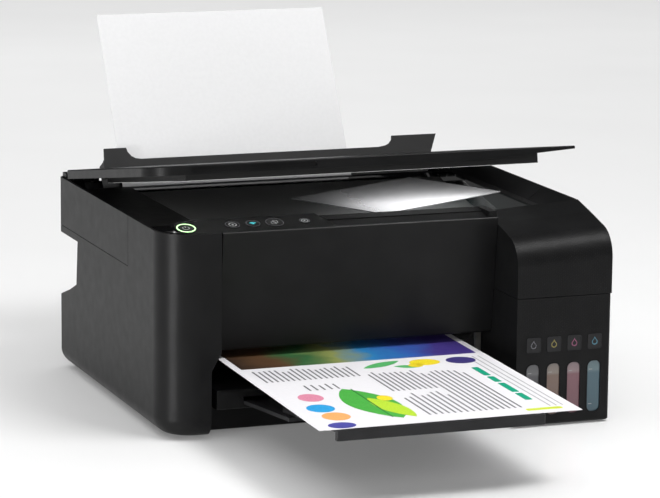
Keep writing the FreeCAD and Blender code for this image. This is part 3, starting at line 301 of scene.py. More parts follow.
def rounded(a0, a1, b0, b1, radius, steps=5):
    """Outline of a rectangle with round corners."""
    points = []
    for centre_a, centre_b, start in ((a1 - radius, b1 - radius, 0), (a0 + radius, b1 - radius, 90),
                                      (a0 + radius, b0 + radius, 180), (a1 - radius, b0 + radius, 270)):
        for step in range(steps + 1):
            angle = math.radians(start + 90 * step / steps)
            points.append((centre_a + radius * math.cos(angle), centre_b + radius * math.sin(angle)))
    return points


def ellipse(centre_a, centre_b, half_a, half_b, steps=28):
    return [(centre_a + half_a * math.cos(math.tau * step / steps),
             centre_b + half_b * math.sin(math.tau * step / steps)) for step in range(steps)]


def droplet(centre_a, centre_b, size, steps=24):
    """Outline of a drop, pointed at the top."""
    points = []
    for step in range(steps):
        angle = math.tau * step / steps
        pull = max(0.0, math.sin(angle)) ** 4
        points.append((centre_a + size * math.cos(angle) * (1 - 0.85 * pull),
                       centre_b + size * math.sin(angle) * (1 + 0.75 * pull) - size * 0.2))
    return points


def leaf(centre_a, centre_b, length, width, turn, steps=16):
    """Outline of a leaf, pointed at both ends."""
    points = []
    for side in (1, -1):
        for step in range(steps):
            along = step / steps
            reach = along if side > 0 else 1 - along
            across = side * width / 2 * math.sin(math.pi * reach) ** 0.8
            points.append((reach * length - length / 2, across))
    cosine, sine = math.cos(turn), math.sin(turn)
    return [(centre_a + a * cosine - b * sine, centre_b + a * sine + b * cosine) for a, b in points]


def node_tree_of(node):
    """Triangles of a CAD node for finding its surface."""
    mesh = frame["nodes"][node].data
    points = [v.co.copy() for v in mesh.vertices]
    return BVHTree.FromPolygons(points, [tuple(p.vertices) for p in mesh.polygons])


def top_of(button):
    """Centre of a button's top face, and the axes along it, from its mesh and its joint."""
    axis = Vector(JOINTS[button + "_press"]["axis"]).normalized()
    points = [v.co for v in frame["nodes"][button].data.vertices]
    reach = max(p.dot(axis) for p in points)
    top = [p for p in points if p.dot(axis) > reach - 1e-5]
    low = Vector(map(min, zip(*top)))
    high = Vector(map(max, zip(*top)))
    across = Vector((1, 0, 0))
    up = axis.cross(across)
    return (low + high) / 2, across, up, axis


def on_button(button, lift=0.0):
    centre, across, up, axis = top_of(button)

    def place(a, b, height):
        return centre + across * a + up * b + axis * (height + lift)
    return place


def finish_piece(obj, body, material):
    paint(obj, material)
    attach(obj, body)
    return obj


def baked(source, name, material):
    """The evaluated result of a modified object as a plain mesh object."""
    graph = bpy.context.evaluated_depsgraph_get()
    mesh = bpy.data.meshes.new_from_object(source.evaluated_get(graph))
    mesh.name = name
    made = new_object(name, mesh)
    paint(made, material)
    bpy.data.objects.remove(source)
    return made


# ---- settings ---------------------------------------------------------------

class PrinterCase(bpy.types.PropertyGroup):
    case_colour: bpy.props.FloatVectorProperty(
        name="Case", description="Colour of the satin case", subtype="COLOR", size=3,
        default=(0.0070, 0.0070, 0.0072), min=0, max=1)
    gloss_colour: bpy.props.FloatVectorProperty(
        name="Console", description="Colour of the polished console", subtype="COLOR", size=3,
        default=(0.003, 0.003, 0.0032), min=0, max=1)
    vent_pitch: bpy.props.FloatProperty(
        name="Vent pitch", description="Distance between the rear vent louvres", default=0.006,
        min=0.003, max=0.02, unit="LENGTH")
    vent_count: bpy.props.IntProperty(
        name="Vents", description="Number of louvres in the rear panel", default=14, min=1, max=30)


class PrinterTanks(bpy.types.PropertyGroup):
    dash_pitch: bpy.props.FloatProperty(
        name="Dash pitch", description="Distance between the columns of raised dashes", default=0.0017,
        min=0.001, max=0.01, unit="LENGTH")
    dash_height: bpy.props.FloatProperty(
        name="Dash height", description="How far each dash stands out", default=0.00012,
        min=0.00005, max=0.001, unit="LENGTH")
    badge_size: bpy.props.FloatProperty(
        name="Badge", description="Side of the square badge over each tank", default=0.0118,
        min=0.005, max=0.02, unit="LENGTH")


class PrinterLights(bpy.types.PropertyGroup):
    ring_colour: bpy.props.FloatVectorProperty(
        name="Ring", description="Colour of the lit ring on the power button", subtype="COLOR", size=3,
        default=(0.55, 1.0, 0.45), min=0, max=1)
    ring_glow: bpy.props.FloatProperty(
        name="Ring glow", description="Strength of the lit ring", default=0.9, min=0, max=20)
    floor_tone: bpy.props.FloatProperty(
        name="Floor", description="Brightness of the pale floor", default=0.86, min=0, max=1)


# ---- CAD finishes -----------------------------------------------------------

class PRINTER_OT_finishes(bpy.types.Operator):
    """Give every CAD piece its finish"""
    bl_idname = "printer.finishes"
    bl_label = "Finishes"

    def execute(self, context):
        case = context.scene.printer_case
        satin = moulded("satin case", case.case_colour, 0.36, 0.46)
        panel = moulded("front panel", case.case_colour, 0.30, 0.38, 3200.0, 0.00003)
        tank_skin = moulded("tank case", case.case_colour, 0.40, 0.50, 2600.0, 0.00007)
        lid_skin = moulded("lid case", [c * 1.15 for c in case.case_colour], 0.34, 0.44)
        black = moulded("inner black", (0.012, 0.012, 0.012), 0.42, 0.55)
        gloss = moulded("console gloss", case.gloss_colour, 0.09, 0.14, 300.0, 0.00001, 0.2)
        cap = moulded("button gloss", [c * 1.6 for c in case.gloss_colour], 0.14, 0.2, 400.0, 0.00001, 0.5)
        tray = moulded("tray black", (0.022, 0.022, 0.023), 0.34, 0.44, 1500.0, 0.00008)
        rubber = moulded("rubber", (0.018, 0.018, 0.018), 0.7, 0.85, 1200.0, 0.0001)
        acetal = moulded("acetal", (0.62, 0.60, 0.55), 0.35, 0.45, 900.0, 0.00003)
        board = moulded("circuit board", (0.01, 0.11, 0.045), 0.25, 0.45, 500.0, 0.00006)
        tube = moulded("ink tube", (0.35, 0.34, 0.33), 0.25, 0.35, 800.0, 0.00002)
        zinc = metal("zinc sheet", (0.55, 0.56, 0.57), 0.28, 0.42)
        ground = metal("ground steel", (0.70, 0.70, 0.72), 0.12, 0.22, (0.2, 4.0, 4.0))
        can = metal("motor can", (0.60, 0.60, 0.60), 0.25, 0.4)
        plain = paper_stock("plain paper", (0.66, 0.66, 0.665))
        white = paper_stock("printed page", (0.70, 0.69, 0.71), 0.6, 0.8)
        groups = (
            (satin, ("left_housing", "right_housing", "upper_housing", "rear_cover", "output_frame",
                     "front_ledge", "paper_support")),
            (panel, ("front_panel",)), (lid_skin, ("scanner_lid",)),
            (tank_skin, ("tank_housing", "tank_cover")),
            (gloss, ("control_console",)), (tray, ("tray_lower", "tray_upper")),
            (black, ("base_pan", "platen", "power_supply", "power_inlet", "feed_slope", "carriage",
                     "scanner_base", "scan_sensor", "edge_guide", "scan_bezel")),
            (rubber, ("rubber_feet", "carriage_belt", "eject_roller", "pickup_roller")),
            (acetal, ("maintenance_station", "drive_pulley", "idler_pulley", "idler_gear", "motor_pinion")),
            (board, ("main_board",)), (pad_sheet(), ("lid_pad",)), (tube, ("ink_tubes",)),
            (zinc, ("chassis_frame", "case_screws", "star_wheels")),
            (ground, ("carriage_rail", "feed_roller", "usb_port")), (can, ("drive_motors",)),
            (plain, ("rear_sheet",)), (white, ("printed_sheet",)), (card_gloss(), ("photo_card",)),
            (clear_glass(), ("scan_glass",)),
            (cap, ("power_button", "info_button", "network_button", "copy_button", "stop_button")),
        )
        for material, nodes in groups:
            for node in nodes:
                paint(frame["nodes"][node], material)
        tints = {"black": ((0.055, 0.055, 0.06), (0.10, 0.10, 0.105)),
                 "yellow": ((0.150, 0.100, 0.080), (0.20, 0.17, 0.15)),
                 "magenta": ((0.160, 0.075, 0.090), (0.22, 0.16, 0.17)),
                 "cyan": ((0.050, 0.095, 0.120), (0.10, 0.15, 0.165))}
        for ink in INKS:
            node = "ink_tank_" + ink
            low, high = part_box(node)
            material = ink_bottle("bottle " + ink, *tints[ink], low.z, low.z + 0.052)
            paint(frame["nodes"][node], material)
            paint(frame["nodes"]["tank_cap_" + ink], rubber)
        return {"FINISHED"}


# ---- tank unit --------------------------------------------------------------

class PRINTER_OT_badges(bpy.types.Operator):
    """Square badges with a drop over the four tank windows"""
    bl_idname = "printer.badges"
    bl_label = "Tank badges"

    def execute(self, context):
        side = context.scene.printer_tanks.badge_size
        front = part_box("tank_housing")[0].y
        badge_finish = moulded("badge gloss", (0.004, 0.004, 0.005), 0.12, 0.2, 600.0, 0.00001, 0.4)
        tones = {"black": (0.10, 0.10, 0.11), "yellow": (0.20, 0.17, 0.06), "magenta": (0.20, 0.07, 0.12),
                 "cyan": (0.06, 0.14, 0.18)}
        for ink in INKS:
            low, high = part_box("ink_tank_" + ink)
            centre = (low.x + high.x) / 2
            middle = 0.0697

            def place(a, b, height):
                return Vector((centre + a, front - height, middle + b))
            shape = bmesh.new()
            add_plate(shape, rounded(-side / 2, side / 2, -side / 2, side / 2, 0.0012), 0.00035, place)
            add_frame(shape, rounded(-side / 2 - 0.0005, side / 2 + 0.0005, -side / 2 - 0.0005,
                                     side / 2 + 0.0005, 0.0016),
                      rounded(-side / 2 + 0.0001, side / 2 - 0.0001, -side / 2 + 0.0001,
                              side / 2 - 0.0001, 0.0012), 0.0005, place)
            finish_piece(from_bmesh("badge_" + ink, shape), "printer", badge_finish)
            shape = bmesh.new()
            add_frame(shape, droplet(0, 0, side * 0.22), droplet(0, 0, side * 0.15), 0.00048, place)
            tone = flat_print("drop " + ink, tones[ink])
            finish_piece(from_bmesh("drop_" + ink, shape), "printer", tone)
        return {"FINISHED"}


class PRINTER_OT_windows(bpy.types.Operator):
    """Thin rims round the tank windows with level marks"""
    bl_idname = "printer.windows"
    bl_label = "Window rims"

    def execute(self, context):
        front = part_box("tank_housing")[0].y
        rim_finish = moulded("window rim", (0.010, 0.010, 0.011), 0.2, 0.3, 900.0, 0.00001)
        mark_finish = flat_print("level marks", (0.28, 0.28, 0.28))
        half, low_z, high_z = 0.006, 0.0098, 0.0533
        for ink in INKS:
            low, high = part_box("ink_tank_" + ink)
            centre = (low.x + high.x) / 2

            def place(a, b, height):
                return Vector((centre + a, front - height, b))
            shape = bmesh.new()
            add_frame(shape, rounded(-half - 0.0007, half + 0.0007, low_z - 0.0007, high_z + 0.0007,
                                     0.0057, 8),
                      rounded(-half + 0.0001, half - 0.0001, low_z + 0.0001, high_z - 0.0001, 0.0049, 8),
                      0.0004, place)
            finish_piece(from_bmesh("window_rim_" + ink, shape), "printer", rim_finish)
            shape = bmesh.new()
            window = low.y

            def mark_place(a, b, height):
                return Vector((centre + a, window - height, b))
            for level in (0.016, 0.0455):
                add_plate(shape, rounded(-0.0042, -0.001, level, level + 0.0006, 0.0002, 3),
                          0.0001, mark_place)
            finish_piece(from_bmesh("level_marks_" + ink, shape), "printer", mark_finish)
        return {"FINISHED"}


def dash_tree():
    """Raised dashes, one on each face of the incoming strip, turned to lie along it."""
    tree = bpy.data.node_groups.new("raised dashes", "GeometryNodeTree")
    tree.is_modifier = True
    make = tree.interface.new_socket
    make("Geometry", in_out="INPUT", socket_type="NodeSocketGeometry")
    sizes = {"Length": 0.0016, "Width": 0.0007, "Height": 0.00024}
    sockets = {}
    for name, value in sizes.items():
        sockets[name] = make(name, in_out="INPUT", socket_type="NodeSocketFloat")
        sockets[name].default_value = value
    material = make("Material", in_out="INPUT", socket_type="NodeSocketMaterial")
    sockets["Material"] = material
    make("Geometry", in_out="OUTPUT", socket_type="NodeSocketGeometry")
    nodes, links = tree.nodes, tree.links
    entry = nodes.new("NodeGroupInput")
    leave = nodes.new("NodeGroupOutput")
    normal = nodes.new("GeometryNodeInputNormal")
    capture = nodes.new("GeometryNodeCaptureAttribute")
    capture.capture_items.new("VECTOR", "facing")
    capture.domain = "FACE"
    points = nodes.new("GeometryNodeMeshToPoints")
    points.mode = "FACES"
    align = nodes.new("FunctionNodeAlignRotationToVector")
    align.axis = "Z"
    settle = nodes.new("FunctionNodeAlignRotationToVector")
    settle.axis = "X"
    settle.pivot_axis = "Z"
    settle.inputs["Vector"].default_value = (1, 0, 0)
    size = nodes.new("ShaderNodeCombineXYZ")
    cube = nodes.new("GeometryNodeMeshCube")
    instance = nodes.new("GeometryNodeInstanceOnPoints")
    realize = nodes.new("GeometryNodeRealizeInstances")
    coat = nodes.new("GeometryNodeSetMaterial")
    links.new(entry.outputs["Geometry"], capture.inputs["Geometry"])
    links.new(normal.outputs["Normal"], capture.inputs["facing"])
    links.new(capture.outputs["Geometry"], points.inputs["Mesh"])
    links.new(capture.outputs["facing"], align.inputs["Vector"])
    links.new(align.outputs["Rotation"], settle.inputs["Rotation"])
    links.new(entry.outputs["Width"], size.inputs["X"])
    links.new(entry.outputs["Length"], size.inputs["Y"])
    links.new(entry.outputs["Height"], size.inputs["Z"])
    links.new(size.outputs["Vector"], cube.inputs["Size"])
    links.new(points.outputs["Points"], instance.inputs["Points"])
    links.new(cube.outputs["Mesh"], instance.inputs["Instance"])
    links.new(settle.outputs["Rotation"], instance.inputs["Rotation"])
    links.new(instance.outputs["Instances"], realize.inputs["Geometry"])
    links.new(realize.outputs["Geometry"], coat.inputs["Geometry"])
    links.new(entry.outputs["Material"], coat.inputs["Material"])
    links.new(coat.outputs["Geometry"], leave.inputs["Geometry"])
    return tree, sockets


def strip_on(node, columns, rays, stagger=True):
    """Small quads on a CAD node's skin, where rays (origin, direction) for each column meet it."""
    surface = node_tree_of(node)
    shape = bmesh.new()
    for number, x in enumerate(columns):
        for row, (origin, direction) in enumerate(rays):
            if stagger and (row + number) % 2:
                continue
            start = Vector((x, *origin))
            heading = Vector((0, *direction)).normalized()
            point, normal, _, _ = surface.ray_cast(start, heading)
            if point is None or normal.y > -0.02 and normal.z < 0.5:
                continue
            side = Vector((1, 0, 0))
            along = normal.cross(side).normalized() * 0.0002
            across = along.cross(normal).normalized() * 0.0002
            corners = [point - across - along, point + across - along, point + across + along,
                       point - across + along]
            verts = [shape.verts.new(corner) for corner in corners]
            face = shape.faces.new(verts)
            face.normal_update()
            if face.normal.dot(normal) < 0:
                face.normal_flip()
    mesh = bpy.data.meshes.new(node + " strip")
    shape.to_mesh(mesh)
    shape.free()
    return new_object(node + "_strip", mesh)


class PRINTER_OT_dashes(bpy.types.Operator):
    """Columns of raised dashes on the tank cover and the tank housing"""
    bl_idname = "printer.dashes"
    bl_label = "Tank texture"

    def execute(self, context):
        tanks = context.scene.printer_tanks
        low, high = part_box("tank_cover")
        count = int((high.x - low.x - 0.006) / tanks.dash_pitch)
        first = low.x + 0.0035
        columns = [first + index * tanks.dash_pitch for index in range(count)]
        centre = (low.y + 0.0247, 0.1380)
        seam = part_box("tank_housing")[0].z + 0.1077
        pitch = 0.0013
        arc = [math.radians(104 + step * 3.1) for step in range(25)]
        cover_rays = [((centre[0] + 0.08 * math.cos(a), centre[1] + 0.08 * math.sin(a)),
                       (-math.cos(a), -math.sin(a))) for a in arc]
        drop = centre[1] - 0.0012
        while drop > seam + 0.002:
            cover_rays.append(((low.y - 0.05, drop), (1, 0)))
            drop -= pitch
        front_rays = []
        level = seam - 0.003
        while level > 0.0785:
            front_rays.append(((low.y - 0.05, level), (1, 0)))
            level -= pitch
        tree, sockets = dash_tree()
        # The dashes take the case colour made 1.25 times lighter: painted highlight on the raised dash tops.
        finish = moulded("tank dashes", [c * 1.25 for c in context.scene.printer_case.case_colour],
                         0.34, 0.44, 2600.0, 0.00002)
        for node, body, rays in (("tank_cover", "tank_cover", cover_rays),
                                 ("tank_housing", "printer", front_rays)):
            strip = strip_on(node, columns, rays)
            modifier = strip.modifiers.new("dashes", "NODES")
            modifier.node_group = tree
            modifier[sockets["Length"].identifier] = pitch * 1.35
            modifier[sockets["Width"].identifier] = tanks.dash_pitch * 0.42
            modifier[sockets["Height"].identifier] = tanks.dash_height * 2
            modifier[sockets["Material"].identifier] = finish
            made = baked(strip, node + "_dashes", finish)
            finish_piece(made, body, finish)
        return {"FINISHED"}


# ---- console ----------------------------------------------------------------

class PRINTER_OT_power_ring(bpy.types.Operator):
    """Lit ring and mark on the power button"""
    bl_idname = "printer.power_ring"
    bl_label = "Power ring"

    def execute(self, context):
        lights = context.scene.printer_lights
        lit = glow("ring glow", lights.ring_colour, lights.ring_glow)
        place = on_button("power_button")
        shape = bmesh.new()
        outer, inner = ellipse(0, 0, 0.0080, 0.0080, 48), ellipse(0, 0, 0.0068, 0.0068, 48)
        add_frame(shape, outer, inner, 0.00025, place)
        finish_piece(from_bmesh("power_ring", shape), "power_button", lit)
        mark = flat_print("power mark", (0.35, 0.38, 0.34))
        shape = bmesh.new()
        arc_out, arc_in = [], []
        for step in range(25):
            angle = math.radians(125 + 290 * step / 24)
            arc_out.append((0.0030 * math.cos(angle), 0.0030 * math.sin(angle)))
            arc_in.append((0.0024 * math.cos(angle), 0.0024 * math.sin(angle)))
        add_plate(shape, arc_out + arc_in[::-1], 0.0001, place)
        add_plate(shape, rounded(-0.0003, 0.0003, 0.0006, 0.0036, 0.00025, 3), 0.0001, place)
        finish_piece(from_bmesh("power_mark", shape), "power_button", mark)
        return {"FINISHED"}


class PRINTER_OT_console_marks(bpy.types.Operator):
    """Generic marks on the other four buttons"""
    bl_idname = "printer.console_marks"
    bl_label = "Button marks"

    def execute(self, context):
        grey = flat_print("grey mark", (0.30, 0.31, 0.31))
        teal = glow("teal mark", (0.06, 0.55, 0.60), 0.35)
        outlines = {
            "info_button": (grey, "rings", ((0.0034, 0.0028),)),
            "network_button": (teal, "arcs", ((0.0042, 0.0036), (0.0029, 0.0023), (0.0015, 0.0009))),
            "copy_button": (grey, "sheets", ()),
            "stop_button": (grey, "rings", ((0.0030, 0.0024),)),
        }
        for button, (material, kind, sizes) in outlines.items():
            place = on_button(button)
            shape = bmesh.new()
            if kind == "rings":
                for outer, inner in sizes:
                    add_frame(shape, ellipse(0, 0, outer, outer), ellipse(0, 0, inner, inner), 0.0001, place)
                add_plate(shape, ellipse(0, 0, sizes[0][1] * 0.35, sizes[0][1] * 0.35, 16), 0.0001, place)
            elif kind == "arcs":
                for outer, inner in sizes:
                    fan = [math.radians(45 + 90 * step / 12) for step in range(13)]
                    edge = [(outer * math.cos(a), outer * math.sin(a) - 0.002) for a in fan]
                    edge += [(inner * math.cos(a), inner * math.sin(a) - 0.002) for a in reversed(fan)]
                    add_plate(shape, edge, 0.0001, place)
            else:
                for shift in (-0.0011, 0.0011):
                    add_frame(shape, rounded(shift - 0.0019, shift + 0.0019, shift - 0.0023, shift + 0.0023,
                                             0.0004, 3),
                              rounded(shift - 0.0015, shift + 0.0015, shift - 0.0019, shift + 0.0019,
                                      0.0002, 3), 0.0001, place)
            finish_piece(from_bmesh(button + "_mark", shape), button, material)
            shape = bmesh.new()
            low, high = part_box(button)
            half = (high.x - low.x) / 2
            edge = 0.00095
            add_frame(shape, ellipse(0, 0, half - edge, half - edge, 40),
                      ellipse(0, 0, half - edge - 0.0004, half - edge - 0.0004, 40), 0.00012, place)
            rim = flat_print(button + " rim", (0.085, 0.085, 0.09))
            finish_piece(from_bmesh(button + "_rim", shape), button, rim)
        return {"FINISHED"}


# ---- printed page -----------------------------------------------------------

def page_place():
    """Maps (across from the left edge, in from the front edge, height) on to the printed sheet."""
    low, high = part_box("printed_sheet")
    thickness = 0.0003
    rise = (high.z - low.z - thickness) / (high.y - low.y)

    def place(a, b, height):
        return Vector((low.x + a, low.y + b, low.z + rise * b + thickness + height))
    return place


def bar_tree():
    """Short bars in rows, each of a random length, as plain grey lines in place of words."""
    tree = bpy.data.node_groups.new("text bars", "GeometryNodeTree")
    tree.is_modifier = True
    make = tree.interface.new_socket
    make("Geometry", in_out="INPUT", socket_type="NodeSocketGeometry")
    sockets = {}
    for name, kind, value in (("Length", "NodeSocketFloat", 0.06), ("Width", "NodeSocketFloat", 0.001),
                              ("Shortest", "NodeSocketFloat", 0.7), ("Seed", "NodeSocketInt", 3)):
        sockets[name] = make(name, in_out="INPUT", socket_type=kind)
        sockets[name].default_value = value
    sockets["Material"] = make("Material", in_out="INPUT", socket_type="NodeSocketMaterial")
    make("Geometry", in_out="OUTPUT", socket_type="NodeSocketGeometry")
    nodes, links = tree.nodes, tree.links
    entry = nodes.new("NodeGroupInput")
    leave = nodes.new("NodeGroupOutput")
    points = nodes.new("GeometryNodeMeshToPoints")
    size = nodes.new("ShaderNodeCombineXYZ")
    size.inputs["Z"].default_value = 0.00006
    cube = nodes.new("GeometryNodeMeshCube")
    shift = nodes.new("GeometryNodeTransform")
    place = nodes.new("ShaderNodeCombineXYZ")
    half = nodes.new("ShaderNodeMath")
    half.operation = "MULTIPLY"
    half.inputs[1].default_value = 0.5
    chance = nodes.new("FunctionNodeRandomValue")
    chance.data_type = "FLOAT"
    scale = nodes.new("ShaderNodeCombineXYZ")
    scale.inputs["X"].default_value = 1.0
    scale.inputs["Z"].default_value = 1.0
    instance = nodes.new("GeometryNodeInstanceOnPoints")
    realize = nodes.new("GeometryNodeRealizeInstances")
    coat = nodes.new("GeometryNodeSetMaterial")
    links.new(entry.outputs["Geometry"], points.inputs["Mesh"])
    links.new(entry.outputs["Width"], size.inputs["X"])
    links.new(entry.outputs["Length"], size.inputs["Y"])
    links.new(size.outputs["Vector"], cube.inputs["Size"])
    links.new(entry.outputs["Length"], half.inputs[0])
    links.new(half.outputs[0], place.inputs["Y"])
    links.new(cube.outputs["Mesh"], shift.inputs["Geometry"])
    links.new(place.outputs["Vector"], shift.inputs["Translation"])
    links.new(entry.outputs["Shortest"], chance.inputs["Min"])
    chance.inputs["Max"].default_value = 1.0
    links.new(entry.outputs["Seed"], chance.inputs["Seed"])
    links.new(chance.outputs["Value"], scale.inputs["Y"])
    links.new(points.outputs["Points"], instance.inputs["Points"])
    links.new(shift.outputs["Geometry"], instance.inputs["Instance"])
    links.new(scale.outputs["Vector"], instance.inputs["Scale"])
    links.new(instance.outputs["Instances"], realize.inputs["Geometry"])
    links.new(realize.outputs["Geometry"], coat.inputs["Geometry"])
    links.new(entry.outputs["Material"], coat.inputs["Material"])
    links.new(coat.outputs["Geometry"], leave.inputs["Geometry"])
    return tree, sockets


class PRINTER_OT_page(bpy.types.Operator):
    """A generic colour page: banner, leaf, discs, flower and plain bars for text"""
    bl_idname = "printer.page"
    bl_label = "Printed page"

    def execute(self, context):
        place = page_place()
        layer = 0.00005
        shapes = {
            "banner": (banner_print(), [rounded(0.006, 0.210, 0.196, 0.2785, 0.001)]),
            "page_leaf": (flat_print("leaf green", (0.06, 0.36, 0.05)),
                          [leaf(0.068, 0.066, 0.098, 0.040, math.radians(98))]),
            "page_leaf_light": (flat_print("leaf lime", (0.42, 0.62, 0.03)),
                                [leaf(0.078, 0.050, 0.066, 0.020, math.radians(104))]),
            "page_leaf_small": (flat_print("small leaf", (0.08, 0.40, 0.12)),
                                [leaf(0.120, 0.180, 0.040, 0.012, math.radians(24)),
                                 leaf(0.138, 0.168, 0.022, 0.009, math.radians(-20))]),
            "page_flower": (flat_print("flower yellow", (0.78, 0.62, 0.02)),
                            [ellipse(0.157, 0.178, 0.013, 0.010), ellipse(0.146, 0.170, 0.006, 0.006),
                             ellipse(0.083, 0.078, 0.006, 0.008)]),
            "disc_pink": (flat_print("disc pink", (0.62, 0.22, 0.32)), [ellipse(0.028, 0.095, 0.010, 0.012)]),
            "disc_blue": (flat_print("disc blue", (0.02, 0.30, 0.62)), [ellipse(0.024, 0.062, 0.011, 0.012)]),
            "disc_orange": (flat_print("disc orange", (0.80, 0.36, 0.12)),
                            [ellipse(0.027, 0.036, 0.011, 0.012)]),
            "disc_indigo": (flat_print("disc indigo", (0.06, 0.06, 0.30)),
                            [ellipse(0.022, 0.010, 0.011, 0.0085)]),
            "disc_violet": (flat_print("disc violet", (0.04, 0.03, 0.16)),
                            [ellipse(0.188, 0.176, 0.0125, 0.011)]),
            "heading_bar": (flat_print("heading green", (0.0, 0.30, 0.17)),
                            [rounded(0.186, 0.192, 0.040 + start, 0.040 + start + length, 0.0012)
                             for start, length in ((0.0, 0.022), (0.026, 0.030), (0.060, 0.018),
                                                   (0.082, 0.028))]),
            "accent_bar": (flat_print("accent lime", (0.55, 0.66, 0.04)),
                           [rounded(0.174, 0.204, 0.0085, 0.0145, 0.002)]),
        }
        for level, (name, (material, outlines)) in enumerate(shapes.items()):
            shape = bmesh.new()
            for outline in outlines:
                add_plate(shape, outline, layer * (1.0 + level * 0.12), place)
            finish_piece(from_bmesh(name, shape), "printed_sheet", material)
        vein = bmesh.new()
        for across, width, low, high in ((0.0672, 0.0012, 0.022, 0.112),):
            add_plate(vein, rounded(across, across + width, low, high, 0.0004, 3), layer * 2.4, place)
        finish_piece(from_bmesh("leaf_vein", vein), "printed_sheet",
                     flat_print("leaf vein", (0.02, 0.16, 0.03)))
        tree, sockets = bar_tree()
        dark = flat_print("text grey", (0.12, 0.12, 0.13))
        pale = flat_print("line grey", (0.32, 0.32, 0.33))
        blocks = (
            # across from, across to, step, low end, length, shortest, seed, finish
            (0.012, 0.094, 0.0046, 0.150, 0.038, 0.72, 3, dark),
            (0.098, 0.136, 0.0046, 0.096, 0.062, 0.80, 5, dark),
            (0.098, 0.136, 0.0052, 0.020, 0.066, 0.75, 8, dark),
            (0.140, 0.178, 0.0048, 0.020, 0.130, 0.88, 11, dark),
            (0.036, 0.060, 0.0060, 0.116, 0.018, 0.6, 14, dark),
            (0.197, 0.2085, 0.0052, 0.018, 0.170, 0.97, 17, pale),
        )
        for index, (start, stop, step, low, length, shortest, seed, material) in enumerate(blocks):
            shape = bmesh.new()
            across = start
            while across < stop:
                shape.verts.new(place(across, low, layer))
                across += step
            mesh = bpy.data.meshes.new("rows")
            shape.to_mesh(mesh)
            shape.free()
            rows = new_object("rows", mesh)
            modifier = rows.modifiers.new("bars", "NODES")
            modifier.node_group = tree
            modifier[sockets["Length"].identifier] = length
            modifier[sockets["Width"].identifier] = 0.0011 if material is pale else 0.0016
            modifier[sockets["Shortest"].identifier] = shortest
            modifier[sockets["Seed"].identifier] = seed
            modifier[sockets["Material"].identifier] = material
            made = baked(rows, "text_bars_%d" % index, material)
            low_point = page_place()
            for vertex in made.data.vertices:
                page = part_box("printed_sheet")[0]
                flat = low_point(vertex.co.x - page.x, vertex.co.y - page.y, 0.0)
                base = low_point(vertex.co.x - page.x, low, layer)
                vertex.co.z = flat.z + (vertex.co.z - base.z) + layer
            finish_piece(made, "printed_sheet", material)
        return {"FINISHED"}


# ---- back of the case -------------------------------------------------------

class PRINTER_OT_vents(bpy.types.Operator):
    """Louvred vent in the rear panel"""
    bl_idname = "printer.vents"
    bl_label = "Rear vents"

    def execute(self, context):
        case = context.scene.printer_case
        low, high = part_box("rear_cover")
        tree, sockets = bar_tree()
        tree.name = "vent louvres"
        black = moulded("vent black", (0.006, 0.006, 0.006), 0.5, 0.6)
        shape = bmesh.new()
        for index in range(case.vent_count):
            shape.verts.new(Vector((0.0, 0.0, index * case.vent_pitch)))
        mesh = bpy.data.meshes.new("louvres")
        shape.to_mesh(mesh)
        shape.free()
        rows = new_object("louvres", mesh)
        modifier = rows.modifiers.new("louvres", "NODES")
        modifier.node_group = tree
        modifier[sockets["Length"].identifier] = 0.090
        modifier[sockets["Width"].identifier] = 0.0028
        modifier[sockets["Shortest"].identifier] = 1.0
        modifier[sockets["Seed"].identifier] = 1
        modifier[sockets["Material"].identifier] = black
        made = baked(rows, "rear_louvres", black)
        for vertex in made.data.vertices:
            across, along, up = vertex.co
            row = round(up / case.vent_pitch)
            vertex.co = Vector((along - 0.045, high.y + 0.0001 + (up - row * case.vent_pitch) * 6,
                                0.030 + row * case.vent_pitch + across))
        finish_piece(made, "printer", black)
        return {"FINISHED"}


# ---- stage ------------------------------------------------------------------

# The floor glows a little, more so towards the back, to read as an even pale sweep
FLOOR_SPAN = (-0.4, 2.2)
FLOOR_GLOW_NEAR = (0.09, 0.09, 0.09)
FLOOR_GLOW_FAR = (0.42, 0.42, 0.42)
LENS = 181.88
CAMERA_PLACE = (-0.98366, -2.62489, 0.66100)

# name, place, aim, size, power, seen in reflections
LAMPS = (
    ("overhead fill", (0.0, 0.6, 3.2), (0.0, 0.0, 0.1), (6.0, 6.0), 170.0, False),
    ("front fill", (-0.9, -3.4, 1.6), (0.0, 0.0, 0.1), (3.0, 2.0), 46.0, False),
    ("left strip", (-1.35, -0.60, 0.16), (-0.16, -0.10, 0.08), (0.16, 0.30), 9.0, True),
    ("top strip", (0.6, -0.7, 1.7), (0.0, 0.0, 0.1), (0.9, 0.5), 22.0, True),
    ("card fill", (0.085, -0.035, 0.192), (0.085, -0.035, 0.1), (0.13, 0.09), 0.22, False),
)


